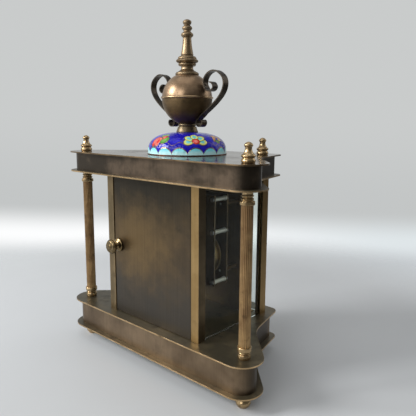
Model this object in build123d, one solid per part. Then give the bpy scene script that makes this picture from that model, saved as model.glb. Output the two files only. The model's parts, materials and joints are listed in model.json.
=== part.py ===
from build123d import *
import os
from math import acos, asin, atan2, cos, degrees, hypot, pi, radians, sin, sqrt, tan

# A brass mantel clock. Two hollow sandwich boxes, the base and the frieze, are held apart by four
# square posts and two fluted columns. The glazed case between them has a door at the back and the
# dial at the front, and a covered urn stands on an enamelled dome on top.
#
# Frame: millimetres, +Z up, the dial looks along -Y, the door along +Y. The origin is under the
# middle of the clock's box, on the surface that the feet stand on.

# ---- Stock and fits -----------------------------------------------------------------------------
PLATE_T = 1.3             # sheet of the four plan-shaped plates
BAND_T = 1.2              # strip bent round as the wall of base and frieze
STATIC_FIT = 0.02         # radial gap round a fixed rod, screw or pin
RUN_FIT = 0.05            # radial gap round a turning shaft
PANE_FIT = 0.2            # gap each side of a glass pane in its groove
PANE_END_GAP = 0.3        # gap above and below a pane
END_SHAKE = 0.3           # axial play of an arbor between its plates

# ---- Heights, from the floor up -----------------------------------------------------------------
FOOT_H = 14.5
BASE_H = 29.5
COLUMN_H = 142.9
FRIEZE_H = 21.3

# ---- Plan of the four plates --------------------------------------------------------------------
PLAN_WIDTH = 251.0        # across the rounded rear corners
PLAN_DEPTH = 128.7
REAR_CORNER_R = 19.3
FLANK_ANGLE = 45.0        # the side runs in at this angle from the rear corner
WAIST_R = 46.6            # hollow of the side
SIDE_TAPER = 13.5         # the side's last run, from straight ahead
FRONT_WIDTH = 138.0       # between the front corners before they are rounded
FRONT_CORNER_R = 9.0
BAND_INSET = 6.0          # the wall stands back from the plates' edge by this much

# ---- Columns, rods, case ------------------------------------------------------------------------
COLUMN_INBOARD = 15.8     # from the plates' side to the column axes
COLUMN_SETBACK = 18.6     # from the plates' back edge to the column axes
COLUMN_ROD_R = 2.0
FRONT_ROD_R = 1.25
CASE_WIDTH = 127.4
CASE_DEPTH = 101.9
CASE_PROUD = 7.4          # the case's back face stands behind the column axes
POST_W = 9.0              # square section of the rear posts
FRONT_POST_W = 7.0        # the front posts' width, narrower across the front
FRONT_ROD_INBOARD = 4.8   # from the case's side face to the front rod
FRONT_ROD_BACK = 5.4      # from the case's front face to the front rod
GLASS_T = 2.0
GLASS_INSET = 1.5         # a pane's outer face behind the posts' outer face
GROOVE_DEPTH = 2.0
PANE_EDGE_GAP = 0.3       # between a pane's edge and the bottom of its groove

POST_SCREW_R = 1.25       # screws through the plates into the ends of the rear posts
POST_SCREW_L = 8.0
POST_SCREW_HEAD_R = 2.4
POST_SCREW_HEAD_T = 1.5
MASK_SCREW_R = 1.0        # screws through the plates into the dial mask's flanges
MASK_SCREW_HEAD_R = 1.9
MASK_SCREW_HEAD_T = 1.0
MASK_SCREW_X = 38.0

# ---- Turned details -----------------------------------------------------------------------------
# An outline lists its stretches upwards: radius halfway up, radius at the end, rise. A stretch
# with no radius halfway up is straight.
SHAFT_R = 5.0
FLUTES = 20
FLUTE_DEPTH = 0.35
FLUTE_W = 1.1
COLUMN_BASE_START_R = 5.1
COLUMN_BASE = [
    (5.7, 5.1, 4.5), (None, 4.5, 0.0), (None, 4.5, 0.3), (5.3, 4.6, 1.9), (None, 4.6, 0.3),
    (None, 5.9, 0.0), (None, 6.2, 0.5), (None, 6.2, 3.0), (None, 5.9, 0.5),
]
CAPITAL_H = 12.0
CAPITAL_START_R = 5.9
CAPITAL = [
    (None, 6.2, 0.4), (None, 6.2, 2.4), (None, 5.9, 0.4), (None, 4.7, 0.0), (None, 4.7, 0.8),
    (5.4, 4.7, 1.6), (4.3, 4.6, 1.0), (5.2, 4.5, 1.7),
]
CAPITAL_FLARE_R = 4.7     # halfway up the capital's last stretch
CAPITAL_TOP_R = 5.7
FINIAL_START_R = 5.2
FINIAL = [
    (5.9, 5.0, 3.6), (None, 4.7, 0.35), (5.9, 4.2, 3.4), (3.0, 2.8, 4.9), (3.6, 2.2, 3.5),
    (None, 1.3, 0.6), (None, 0.0, 0.25),
]
FINIAL_BORE_H = 6.0
FOOT_PAD_R = 4.4
FOOT = [(None, 4.8, 0.6), (6.6, 5.0, 7.2), (4.6, 5.3, 2.9)]
FOOT_COLLAR_R = 6.2       # halfway up the collar under the base
FOOT_TOP_R = 5.3
FOOT_BORE_H = 8.0

# ---- Door ---------------------------------------------------------------------------------------
DOOR_T = 4.0              # depth of the folded rim
DOOR_SKIN = 1.2
DOOR_RIM = 3.0
DOOR_RECESS = 0.8         # the door's face behind the posts' face
DOOR_GAP = 0.4            # round the door's free edges
HINGE_GAP = 0.35          # between the rounded hinge edge and the post
HINGE_PIN_R = 1.0
HINGE_PIN_IN = 6.0        # length of a hinge pin inside the door
KNOB_FROM_EDGE = 6.2      # knob axis to the door's free edge
KNOB_ROSE_R = 5.9
KNOB = [                  # rose, neck, rounded disc, dished face with a button
    (5.95, 5.4, 2.3), (3.7, 3.0, 2.2), (2.8, 4.2, 3.5), (6.4, 5.1, 4.2), (4.0, 2.7, -0.3),
    (None, 2.3, 0.7), (None, 0.0, 1.0),
]
KNOB_SPIGOT_R = 1.5
KNOB_WASHER_R = 3.0
KNOB_WASHER_T = 0.8
CATCH_W = 16.0
CATCH_D = 6.0
CATCH_H = 9.0
CATCH_GAP = 0.3           # between the closed door's rim and the catch

# ---- Urn ----------------------------------------------------------------------------------------
DOME_R = 38.9
DOME_H = 21.5
DOME_POWER = 2.77         # exponent of the dome's rounded-square section
DOME_WALL = 1.6
DOME_SEAT_R = 12.0        # flat on the dome's top, under the urn's foot
DOME_STEPS = 8            # points on the dome's section
DOME_RIM_H = 1.0
DOME_RIM_R = 39.3
URN_FOOT_R = 10.7
URN_FOOT_TOP_R = 8.2
URN_FOOT = [              # skirt, then the ring under the bowl
    (None, 10.7, 0.8), (9.8, 9.3, 4.5), (None, 8.1, 0.3), (8.6, URN_FOOT_TOP_R, 2.8),
]
BOWL_R = 24.6
BOWL_DEPTH = 25.2         # lower bowl, from its rim to its lowest point
COVER_RISE = 24.9         # upper bowl, from its rim to the height of its full round
BOWL_WALL = 1.2
BOWL_STEPS = 4            # stretches on a bowl's section
BELT_R = 25.7
BELT_EDGE_R = 25.1
BELT_H = 2.0
COLLAR_R = 11.1
SPIRE = [                 # collar, neck, three rings, stem, two knops and the button at the tip
    (11.4, 10.7, 2.6), (8.0, 6.1, 2.9), (5.8, 6.1, 2.9), (None, 7.9, 0.4), (8.6, 8.1, 2.6),
    (None, 9.2, 0.3), (10.8, 9.0, 3.6), (8.9, 8.0, 2.2), (None, 5.8, 0.6), (6.05, 5.8, 2.4),
    (4.6, 4.0, 14.4), (None, 4.6, 0.5), (6.0, 4.5, 4.2), (None, 3.6, 0.7), (3.4, 3.5, 1.2),
    (4.9, 3.7, 4.1), (2.9, 3.0, 1.1), (3.9, 4.1, 2.3), (3.9, 2.6, 2.1), (None, 1.5, 0.6),
    (None, 0.0, 0.25),
]
URN_ROD_R = 1.75
URN_ROD_TOP = 22.0        # length of the rod inside the spire
URN_NUT_R = 3.6
URN_NUT_T = 3.0
HANDLE_W = 7.0
HANDLE_T = 1.2
HANDLE_STEPS = 52         # stretches on each face of a handle strip
HANDLE_RIVET_R = 1.3
HANDLE_RIVET_END = 0.5    # a rivet's end inside the bowl's wall
# Centre line of a handle strip: distance from the urn's axis, height above the dome's seat. It
# starts and ends in a scroll. The rivets stand on that line, at the cover and the lower bowl.
HANDLE_PATH = [
    (31.2, 46.6), (34.9, 45.0), (36.1, 42.0), (33.8, 39.4), (29.5, 38.9), (25.8, 41.0), (24.1, 44.8),
    (24.4, 49.2), (27.0, 53.2), (31.7, 56.1), (37.4, 56.7), (43.1, 54.2), (47.6, 49.7), (48.7, 43.6),
    (46.5, 37.5), (41.7, 31.7), (34.9, 25.9), (27.8, 20.8), (21.6, 16.6), (17.4, 13.1), (15.2, 10.0),
    (15.6, 7.4), (18.2, 5.9), (21.2, 6.6), (22.8, 9.2), (21.4, 11.8),
]
HANDLE_RIVET_AT = [(24.1, 44.8), (21.6, 16.6)]

# ---- Dial ---------------------------------------------------------------------------------------
DIAL_CENTRE_H = 82.0      # dial centre above the case floor
MASK_SETBACK = 14.0       # from the case's front face to the mask's rear face
MASK_HALF_W = 52.0
MASK_T = 1.2
MASK_FLANGE = 7.0
DIAL_R = 42.0
DIAL_T = 1.5
DIAL_HOLE_R = 3.4
BEZEL_R = 46.0
BEZEL_BORE_R = 41.0
BEZEL = [(None, 46.0, 1.05), (45.5, 43.7, 1.75), (43.2, 42.5, 0.7)]
BEZEL_LIP = 0.25          # gap between the dial and the bezel's inner edge
HAND_T = 0.6
HAND_TAIL = 0.22          # share of a hand's length behind its eye
HOUR_HAND_L = 24.0
HOUR_EYE_R = 4.4
HOUR_SPADE_W = 6.0
HOUR_HAND_GAP = 1.2       # dial to hour hand
HOUR_REST = 55.0          # the hands rest at eight minutes past ten
MINUTE_HAND_L = 36.0
MINUTE_EYE_R = 3.2
MINUTE_SPADE_W = 4.4
MINUTE_HAND_GAP = 1.4     # hour hand to minute hand
MINUTE_REST = -50.0
HAND_NUT_R = 2.6
HAND_NUT_L = 2.4
HAND_NUT_THREAD_L = 1.7

# ---- Movement -----------------------------------------------------------------------------------
MOVEMENT_W = 85.0
MOVEMENT_H = 90.0
MOVEMENT_PLATE_T = 1.5
PLATE_SPACING = 17.0      # between the movement plates' inner faces
MOVEMENT_BACK = 42.4      # from the mask's rear face to the back plate's inner face
PILLAR_R = 2.6
PILLAR_EDGE = 2.5         # from a pillar's axis to the plate's side
PILLAR_END_EDGE = 4.0     # from a corner pillar's axis to the plate's top or bottom
PILLAR_WAIST_R = 2.1
PILLAR_END_H = 1.7
PILLAR_SCREW_R = 1.2
PILLAR_HEAD_R = 2.3
PILLAR_HEAD_T = 1.2
MID_PILLAR_UP = 9.0       # the fifth pillar above the dial centre
DIAL_PILLAR_AT = 34.0
ARBOR_R = 1.2
PIVOT_R = 0.6
WHEEL_T = 1.0
WHEEL_RIM = 2.2           # solid rim inside a wheel's teeth
WHEEL_HUB = 2.2           # solid hub outside an arbor
SPOKES = 4
SPOKE_W = 2.0
LEAF_OVERLAP = 0.6        # a pinion reaches past its wheel by this much on each side
# A tooth's flank: height from the pitch circle in modules, width as a share of the pitch
WHEEL_TOOTH = ((-1.15, 0.46), (0.0, 0.36), (0.85, 0.12))
LEAF = ((-1.30, 0.38), (0.0, 0.34), (0.55, 0.16))
MODULE_GREAT = 0.45
GREAT_TEETH = 96
CENTRE_LEAVES = 12
MODULE_CENTRE = 0.40
CENTRE_TEETH = 64
THIRD_LEAVES = 8
MODULE_THIRD = 0.35
THIRD_TEETH = 60
ESCAPE_LEAVES = 8
MODULE_CANNON = 0.50
CANNON_LEAVES = 12
MINUTE_TEETH = 36
MINUTE_LEAVES = 10
HOUR_TEETH = 40
CENTRE_WHEEL_AT = 1.2     # layers between the plates, counted from the back plate
BARREL_LOW = 3.2
GREAT_T = 1.5
THIRD_WHEEL_AT = 7.0
ESCAPE_WHEEL_AT = 13.0
CANNON_GAP = 1.2          # layers in front of the front plate
CANNON_LEAF_L = 2.6
MINUTE_WHEEL_UP = 0.9     # above the foot of the cannon pinion
HOUR_WHEEL_UP = 3.2       # above the minute wheel
STUD_R = 0.8
STUD_COLLAR_R = 1.6
STUD_COLLAR_T = 0.8
STUD_GAP = 0.2            # between the minute wheel and its collars
BARREL_ANGLE = 225.0      # direction of each arbor from the one before it, seen from the dial
THIRD_ANGLE = 60.0
MINUTE_ANGLE = 20.0
BARREL_R = 19.0
BARREL_L = 8.8
BARREL_WALL = 1.2
BARREL_ARBOR_R = 3.0
BARREL_ARBOR_UP = 1.0     # the arbor's shoulder in front of the great wheel
BARREL_BACK_R = 2.4       # the arbor where it passes the back plate
BARREL_FRONT_R = 1.0      # the arbor where it runs in the front plate
MAINSPRING_BORE_R = 9.5
MAINSPRING_GAP = 0.3
WINDING_SQUARE = 3.4
WINDING_SQUARE_L = 8.0
RATCHET_R = 8.0
RATCHET_ROOT_R = 7.0
RATCHET_TEETH = 24
RATCHET_T = 1.6
RATCHET_GAP = 0.3         # between the back plate and the ratchet wheel
CLICK_RIGHT = 10.0        # click pivot from the winding arbor
CLICK_UP = 9.4
CLICK_PIN_R = 0.9
CLICK_EYE_R = 2.2
CLICK_HEAD_R = 1.8
CLICK_HEAD_T = 1.0
CLICK_W = 4.0
CLICK_TIP_GAP = 0.25      # between the click's tip and the ratchet's root
CLICK_TIP_W = 2.35
CLICK_FACE_GAP = 0.12     # between the click's tip and the tooth that it holds
CLICK_LEAN = 0.25         # how far the pawl's belly stands away from the teeth
ESCAPE_R = 7.0
ESCAPE_ROOT_R = 5.7
ESCAPE_TEETH = 30
ESCAPE_T = 0.6
ESCAPE_RIM = 1.0
ESCAPE_HUB_R = 2.0
ESCAPE_ARBOR_R = 0.96
ESCAPE_TIP = 0.06         # tooth widths at tip and root, as shares of the pitch
ESCAPE_ROOT = 0.52
PALLET_SPAN = 45.0        # each pallet's angle from straight up, seen from the escape arbor
PALLET_GAP = 0.15         # pallets clear of the escape wheel's tips at the middle of the swing
PALLET_T = 1.2
PALLET_L = 2.6
PALLET_W = 1.2
PALLET_TIP_W = 0.3
ANCHOR_HUB_R = 2.4
ANCHOR_ARM_W = 2.8
CANNON_R = 2.0
HOUR_PIPE_R = 2.9
PENDULUM_L = 84.0         # pallet arbor to the middle of the bob
PENDULUM_BEHIND = 1.4     # gap between the back plate and the pendulum rod
PENDULUM_TAIL = 5.0       # rod below the bob
PENDULUM_END = 1.0        # arbor behind the rod
PENDULUM_ROD_R = 0.8
PENDULUM_EYE_R = 3.0
PENDULUM_EYE_PROUD = 0.2  # how far the eye is thicker than the rod on each side
BOB_R = 9.0
BOB_EDGE_T = 1.0
BOB_FACE_R = 2.7
BOB_SHOULDER_R = 7.0      # halfway out on the bob's domed faces
BOB_T = 5.0
BOB_BACK = 2.0            # gap between the movement and the bob
RATING_NUT_R = 2.2
RATING_NUT_H = 2.0

# ---- Derived places -----------------------------------------------------------------------------
KNOB_L = sum(rise for _, _, rise in KNOB)
Z_BASE = FOOT_H
Z_FLOOR = Z_BASE + BASE_H                 # case floor, the base's upper face
Z_CEILING = Z_FLOOR + COLUMN_H            # frieze's lower face
Z_TOP = Z_CEILING + FRIEZE_H              # upper face that the urn stands on

KNOB_OVERHANG = max(CASE_PROUD - DOOR_RECESS + KNOB_L - COLUMN_SETBACK, 0.0)
Y_FRONT_EDGE = -(PLAN_DEPTH + KNOB_OVERHANG) / 2
Y_BACK_EDGE = Y_FRONT_EDGE + PLAN_DEPTH
Y_COLUMNS = Y_BACK_EDGE - COLUMN_SETBACK
Y_CASE_BACK = Y_COLUMNS + CASE_PROUD
Y_CASE_FRONT = Y_CASE_BACK - CASE_DEPTH
Y_URN = (Y_CASE_BACK + Y_CASE_FRONT) / 2

CASE_HALF = CASE_WIDTH / 2
COLUMN_X = PLAN_WIDTH / 2 - COLUMN_INBOARD
FRONT_ROD_X = CASE_HALF - FRONT_ROD_INBOARD
Y_FRONT_ROD = Y_CASE_FRONT + FRONT_ROD_BACK
SIDES = {"left": -1, "right": 1}          # left and right as seen from the dial side


# ---- Shared builders ----------------------------------------------------------------------------
class Turning:
    """Half section of a turned piece, drawn upwards from a start radius, then spun round Z."""

    def __init__(self, radius):
        self.radius, self.height = radius, 0.0
        self.start = radius
        self.edges = []

    def line(self, radius, rise):
        end = (radius, self.height + rise)
        self.edges.append(Line((self.radius, self.height), end))
        self.radius, self.height = end
        return self

    def arc(self, middle_radius, radius, rise):
        end = (radius, self.height + rise)
        middle = (middle_radius, self.height + rise / 2)
        self.edges.append(ThreePointArc((self.radius, self.height), middle, end))
        self.radius, self.height = end
        return self

    def follow(self, outline):
        """Draws each stretch of an outline: radius halfway up, radius at the end, rise."""
        for middle_radius, radius, rise in outline:
            if middle_radius is None:
                self.line(radius, rise)
            else:
                self.arc(middle_radius, radius, rise)
        return self

    def solid(self, bore=0.0, bore_depth=None):
        edges = list(self.edges)
        if self.radius > 0:
            edges.append(Line((self.radius, self.height), (0, self.height)))
        edges.append(Line((0, self.height), (0, 0)))
        edges.append(Line((0, 0), (self.start, 0)))
        section = Plane.XZ * make_face(Wire(edges))
        body = revolve(section, Axis.Z)
        if bore:
            body -= rod(bore, 0, self.height if bore_depth is None else bore_depth)
        return body


def rod(radius, low, high):
    """A cylinder on Z from one height to another."""
    return Pos(0, 0, low) * Cylinder(radius, high - low, align=(Align.CENTER, Align.CENTER, Align.MIN))


def block(x0, x1, y0, y1, z0, z1):
    """A box between two corners."""
    return Pos((x0 + x1) / 2, (y0 + y1) / 2, (z0 + z1) / 2) * Box(x1 - x0, y1 - y0, z1 - z0)


def ring(outer, inner, low, high):
    """A tube on Z from one height to another."""
    return rod(outer, low, high) - rod(inner, low, high)


def plan_face():
    """Plan of the plates: straight back, rounded rear corners, hollow sides, narrower front."""
    corner_turn = radians(180 - FLANK_ANGLE)
    flank, taper = tan(radians(FLANK_ANGLE)), tan(radians(SIDE_TAPER))
    rear_x = PLAN_WIDTH / 2 - REAR_CORNER_R + REAR_CORNER_R * tan(corner_turn / 2)
    front_x = FRONT_WIDTH / 2
    waist_x = (front_x + (PLAN_DEPTH - rear_x * flank) * taper) / (1 - taper * flank)
    waist_y = Y_BACK_EDGE - (rear_x - waist_x) * flank
    half = [(rear_x, Y_BACK_EDGE), (waist_x, waist_y), (front_x, Y_FRONT_EDGE)]
    radii = [REAR_CORNER_R, WAIST_R, FRONT_CORNER_R]
    corners = half + [(-x, y) for x, y in reversed(half)]
    outline = FilletPolyline(*corners, radius=radii + radii[::-1], close=True)
    return make_face(outline)


PLAN = plan_face()
WALL_PLAN = offset(PLAN, -BAND_INSET)
WALL_BORE_PLAN = offset(PLAN, -BAND_INSET - BAND_T)


def slab(face, low, high):
    """A plan face as a plate between two heights."""
    return Pos(0, 0, low) * extrude(face, high - low)


def rod_holes(low, high):
    """Holes for the four tie rods through a stack of plates."""
    holes = []
    for side in SIDES.values():
        holes.append(Pos(side * COLUMN_X, Y_COLUMNS, 0) * rod(COLUMN_ROD_R + STATIC_FIT, low, high))
        holes.append(Pos(side * FRONT_ROD_X, Y_FRONT_ROD, 0) * rod(FRONT_ROD_R + STATIC_FIT, low, high))
    return holes


def plate(low, extra_holes=()):
    """One plan-shaped plate with its rod holes."""
    body = slab(PLAN, low, low + PLATE_T)
    for hole in rod_holes(low, low + PLATE_T) + list(extra_holes):
        body -= hole
    return body


def band(low, high):
    """The wall between two plates, one strip bent round and joined."""
    return slab(WALL_PLAN, low, high) - slab(WALL_BORE_PLAN, low, high)


# ---- Base and frieze ----------------------------------------------------------------------------
REAR_POST_AT = [(side * (CASE_HALF - POST_W / 2), Y_CASE_BACK - POST_W / 2) for side in SIDES.values()]
Y_MASK = Y_CASE_FRONT + MASK_SETBACK      # the mask's rear face
MASK_SCREW_AT = [(side * MASK_SCREW_X, Y_MASK - MASK_T - MASK_FLANGE / 2) for side in SIDES.values()]
DOOR_FACE = Y_CASE_BACK - DOOR_RECESS
HINGE_R = DOOR_T / 2                      # rounding of the door's hinge edge
HINGE_X = -(CASE_HALF - POST_W) + HINGE_GAP + HINGE_R
HINGE_Y = DOOR_FACE - HINGE_R


def drilled(places, radius, low, high):
    """Round holes at plan positions."""
    return [Pos(x, y, 0) * rod(radius, low, high) for x, y in places]


def case_plate(low):
    """A plate that closes the case: it also takes the post screws, mask screws and a hinge pin."""
    high = low + PLATE_T
    extra = drilled(REAR_POST_AT, POST_SCREW_R + STATIC_FIT, low, high)
    extra += drilled(MASK_SCREW_AT, MASK_SCREW_R + STATIC_FIT, low, high)
    extra += drilled([(HINGE_X, HINGE_Y)], HINGE_PIN_R + STATIC_FIT, low, high)
    return plate(low, extra)


def make_base():
    return {
        "base_bottom_plate": plate(Z_BASE),
        "base_band": band(Z_BASE + PLATE_T, Z_FLOOR - PLATE_T),
        "base_top_plate": case_plate(Z_FLOOR - PLATE_T),
    }


def make_frieze():
    urn_hole = Pos(0, Y_URN, 0) * rod(URN_ROD_R + STATIC_FIT, Z_TOP - PLATE_T, Z_TOP)
    return {
        "frieze_bottom_plate": case_plate(Z_CEILING),
        "frieze_band": band(Z_CEILING + PLATE_T, Z_TOP - PLATE_T),
        "top_plate": plate(Z_TOP - PLATE_T, [urn_hole]),
    }


# ---- Columns, finials, feet, rods ---------------------------------------------------------------
def fluted_shaft(low, high):
    """The column's shaft: a round bar with shallow flutes cut along it."""
    flute_r = ((FLUTE_W / 2) ** 2 + FLUTE_DEPTH**2) / (2 * FLUTE_DEPTH)
    flute_at = SHAFT_R - FLUTE_DEPTH + flute_r
    section = Circle(SHAFT_R) - [Rot(0, 0, i * 360 / FLUTES) * Pos(flute_at, 0) * Circle(flute_r)
                                 for i in range(FLUTES)]
    return Pos(0, 0, low) * extrude(section, high - low)


def column():
    """Fluted column with a turned base and capital, bored for its tie rod."""
    foot = Turning(COLUMN_BASE_START_R).follow(COLUMN_BASE)
    head = Turning(CAPITAL_START_R).follow(CAPITAL)
    head.arc(CAPITAL_FLARE_R, CAPITAL_TOP_R, CAPITAL_H - head.height)
    shaft_high = COLUMN_H - CAPITAL_H
    body = foot.solid() + fluted_shaft(foot.height, shaft_high) + Pos(0, 0, shaft_high) * head.solid()
    return body - rod(COLUMN_ROD_R + STATIC_FIT, 0, COLUMN_H)


def finial_solid(bore):
    return Turning(FINIAL_START_R).follow(FINIAL).solid(bore + STATIC_FIT, FINIAL_BORE_H)


def foot_solid(bore):
    """A turned bun foot, drawn from its pad up to its neck under the base."""
    turned = Turning(FOOT_PAD_R).follow(FOOT)
    turned.arc(FOOT_COLLAR_R, FOOT_TOP_R, FOOT_H - turned.height)
    return turned.solid() - rod(bore + STATIC_FIT, FOOT_H - FOOT_BORE_H, FOOT_H)


def make_supports():
    nodes = {}
    rods = []
    for name, side in SIDES.items():
        corners = {
            "rear": (Pos(side * COLUMN_X, Y_COLUMNS, 0), COLUMN_ROD_R),
            "front": (Pos(side * FRONT_ROD_X, Y_FRONT_ROD, 0), FRONT_ROD_R),
        }
        nodes[f"column_{name}"] = corners["rear"][0] * Pos(0, 0, Z_FLOOR) * column()
        for where, (place, bore) in corners.items():
            nodes[f"finial_{where}_{name}"] = place * Pos(0, 0, Z_TOP) * finial_solid(bore)
            nodes[f"foot_{where}_{name}"] = place * foot_solid(bore)
            rods.append(place * rod(bore, FOOT_H - FOOT_BORE_H, Z_TOP + FINIAL_BORE_H))
    nodes["tie_rods"] = Compound(rods + [urn_rod()])
    return nodes


# ---- Posts and glass ----------------------------------------------------------------------------
GROOVE_W = GLASS_T + 2 * PANE_FIT
SIDE_PANE_OUT = CASE_HALF - GLASS_INSET   # outer face of a side pane
FRONT_PANE_OUT = Y_CASE_FRONT + GLASS_INSET
CASE_Z0, CASE_Z1 = Z_FLOOR, Z_CEILING


def rear_post(side):
    x1, x0 = CASE_HALF, CASE_HALF - POST_W
    y0, y1 = Y_CASE_BACK - POST_W, Y_CASE_BACK
    body = block(x0, x1, y0, y1, CASE_Z0, CASE_Z1)
    groove_out = SIDE_PANE_OUT + PANE_FIT
    body -= block(groove_out - GROOVE_W, groove_out, y0, y0 + GROOVE_DEPTH, CASE_Z0, CASE_Z1)
    centre = Pos((x0 + x1) / 2, (y0 + y1) / 2, 0)
    body -= centre * rod(POST_SCREW_R + STATIC_FIT, CASE_Z0, CASE_Z0 + POST_SCREW_L)
    body -= centre * rod(POST_SCREW_R + STATIC_FIT, CASE_Z1 - POST_SCREW_L, CASE_Z1)
    return body if side > 0 else mirror(body, Plane.YZ)


def front_post(side):
    x1, x0 = CASE_HALF, CASE_HALF - FRONT_POST_W
    y0, y1 = Y_CASE_FRONT, Y_CASE_FRONT + POST_W
    body = block(x0, x1, y0, y1, CASE_Z0, CASE_Z1)
    side_out = SIDE_PANE_OUT + PANE_FIT
    front_out = FRONT_PANE_OUT - PANE_FIT
    body -= block(side_out - GROOVE_W, side_out, y1 - GROOVE_DEPTH, y1, CASE_Z0, CASE_Z1)
    body -= block(x0, x0 + GROOVE_DEPTH, front_out, front_out + GROOVE_W, CASE_Z0, CASE_Z1)
    body -= Pos(FRONT_ROD_X, Y_FRONT_ROD, 0) * rod(FRONT_ROD_R + STATIC_FIT, CASE_Z0, CASE_Z1)
    return body if side > 0 else mirror(body, Plane.YZ)


def make_case():
    nodes = {}
    reach = GROOVE_DEPTH - PANE_EDGE_GAP
    low, high = CASE_Z0 + PANE_END_GAP, CASE_Z1 - PANE_END_GAP
    pane_y0 = Y_CASE_FRONT + POST_W - reach
    pane_y1 = Y_CASE_BACK - POST_W + reach
    for name, side in SIDES.items():
        nodes[f"rear_post_{name}"] = rear_post(side)
        nodes[f"front_post_{name}"] = front_post(side)
        pane = block(SIDE_PANE_OUT - GLASS_T, SIDE_PANE_OUT, pane_y0, pane_y1, low, high)
        nodes[f"side_glass_{name}"] = pane if side > 0 else mirror(pane, Plane.YZ)
    half = CASE_HALF - FRONT_POST_W + reach
    nodes["front_glass"] = block(-half, half, FRONT_PANE_OUT, FRONT_PANE_OUT + GLASS_T, low, high)
    screws = []
    for x, y in REAR_POST_AT:
        screws.append(Pos(x, y, CASE_Z0) * screw(POST_SCREW_R, POST_SCREW_L, PLATE_T,
                                                 POST_SCREW_HEAD_R, POST_SCREW_HEAD_T))
        screws.append(Pos(x, y, CASE_Z1) * Rot(180, 0, 0) * screw(
            POST_SCREW_R, POST_SCREW_L, PLATE_T, POST_SCREW_HEAD_R, POST_SCREW_HEAD_T))
    for x, y in MASK_SCREW_AT:
        head_in = screw(MASK_SCREW_R, PLATE_T, MASK_T, MASK_SCREW_HEAD_R, MASK_SCREW_HEAD_T)
        screws.append(Pos(x, y, CASE_Z0) * Rot(180, 0, 0) * head_in)
        screws.append(Pos(x, y, CASE_Z1) * head_in)
    nodes["case_screws"] = Compound(screws)
    return nodes


def screw(radius, length, grip, head_r, head_t):
    """A cheese-head screw. Z=0 is the joint face; the shank runs up from it, the head lies below
    the gripped sheet."""
    return rod(radius, -grip, length - STATIC_FIT) + rod(head_r, -grip - head_t, -grip)


# ---- Door ---------------------------------------------------------------------------------------
DOOR_Z0, DOOR_Z1 = CASE_Z0 + DOOR_GAP, CASE_Z1 - DOOR_GAP
DOOR_FREE_X = CASE_HALF - POST_W - DOOR_GAP
KNOB_X = DOOR_FREE_X - KNOB_FROM_EDGE
KNOB_Z = (DOOR_Z0 + DOOR_Z1) / 2


def make_door():
    back = DOOR_FACE - DOOR_T
    hinge = Pos(HINGE_X, HINGE_Y, 0)
    panel = block(HINGE_X, DOOR_FREE_X, back, DOOR_FACE, DOOR_Z0, DOOR_Z1)
    panel += hinge * rod(HINGE_R, DOOR_Z0, DOOR_Z1)
    panel -= block(HINGE_X + DOOR_RIM, DOOR_FREE_X - DOOR_RIM, back, DOOR_FACE - DOOR_SKIN,
                   DOOR_Z0 + DOOR_RIM, DOOR_Z1 - DOOR_RIM)
    for low, high in ((DOOR_Z0, DOOR_Z0 + HINGE_PIN_IN), (DOOR_Z1 - HINGE_PIN_IN, DOOR_Z1)):
        panel -= hinge * rod(HINGE_PIN_R + RUN_FIT, low, high)
    knob_place = Pos(KNOB_X, DOOR_FACE, KNOB_Z) * Rot(-90, 0, 0)
    panel -= knob_place * rod(KNOB_SPIGOT_R + STATIC_FIT, -DOOR_T, 0)
    # the knob's spigot passes through the door's skin and is spread over a washer inside
    knob = Turning(KNOB_ROSE_R).follow(KNOB).solid()
    knob += rod(KNOB_SPIGOT_R, -DOOR_SKIN - KNOB_WASHER_T, 0)
    knob += rod(KNOB_WASHER_R, -DOOR_SKIN - KNOB_WASHER_T, -DOOR_SKIN)
    pins = []
    pin_end = HINGE_PIN_IN - END_SHAKE
    pins.append(hinge * rod(HINGE_PIN_R, CASE_Z0 - PLATE_T, DOOR_Z0 + pin_end))
    pins.append(hinge * rod(HINGE_PIN_R, DOOR_Z1 - pin_end, CASE_Z1 + PLATE_T))
    catch_y1 = back - CATCH_GAP
    catch_x1 = DOOR_FREE_X - DOOR_RIM
    catch = block(catch_x1 - CATCH_W, catch_x1, catch_y1 - CATCH_D, catch_y1, CASE_Z0, CASE_Z0 + CATCH_H)
    return {
        "back_door": panel,
        "door_knob": knob_place * knob,
        "hinge_pins": Compound(pins),
        "door_catch": catch,
    }


# ---- Urn ----------------------------------------------------------------------------------------
def dome_height(radius, full_r, full_h):
    """Height of the dome's rounded-square section at a radius."""
    return full_h * (1 - (radius / full_r) ** DOME_POWER) ** (1 / DOME_POWER)


def dome_section(full_r, full_h, seat_r):
    """Half section of the dome: upright at its rim, flat at its seat."""
    seat_angle = (seat_r / full_r) ** (DOME_POWER / 2)
    points = []
    for step in range(DOME_STEPS + 1):
        angle = (pi / 2 - asin(seat_angle)) * step / DOME_STEPS
        points.append((full_r * cos(angle) ** (2 / DOME_POWER), full_h * sin(angle) ** (2 / DOME_POWER)))
    curve = Spline(*points)
    top = points[-1][1]
    return [curve, Line(points[-1], (0, top)), Line((0, top), (0, 0)), Line((0, 0), (full_r, 0))]


def dome():
    """Hollow enamelled dome, open underneath, with a flat seat and a hole for the urn's rod."""
    rise = DOME_H - DOME_RIM_H
    outer = revolve(Plane.XZ * make_face(Wire(dome_section(DOME_R, rise, DOME_SEAT_R))), Axis.Z)
    inner = revolve(Plane.XZ * make_face(Wire(dome_section(
        DOME_R - DOME_WALL, rise - DOME_WALL, DOME_SEAT_R))), Axis.Z)
    return Pos(0, 0, DOME_RIM_H) * (outer - inner - rod(URN_ROD_R + STATIC_FIT, 0, rise))


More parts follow.
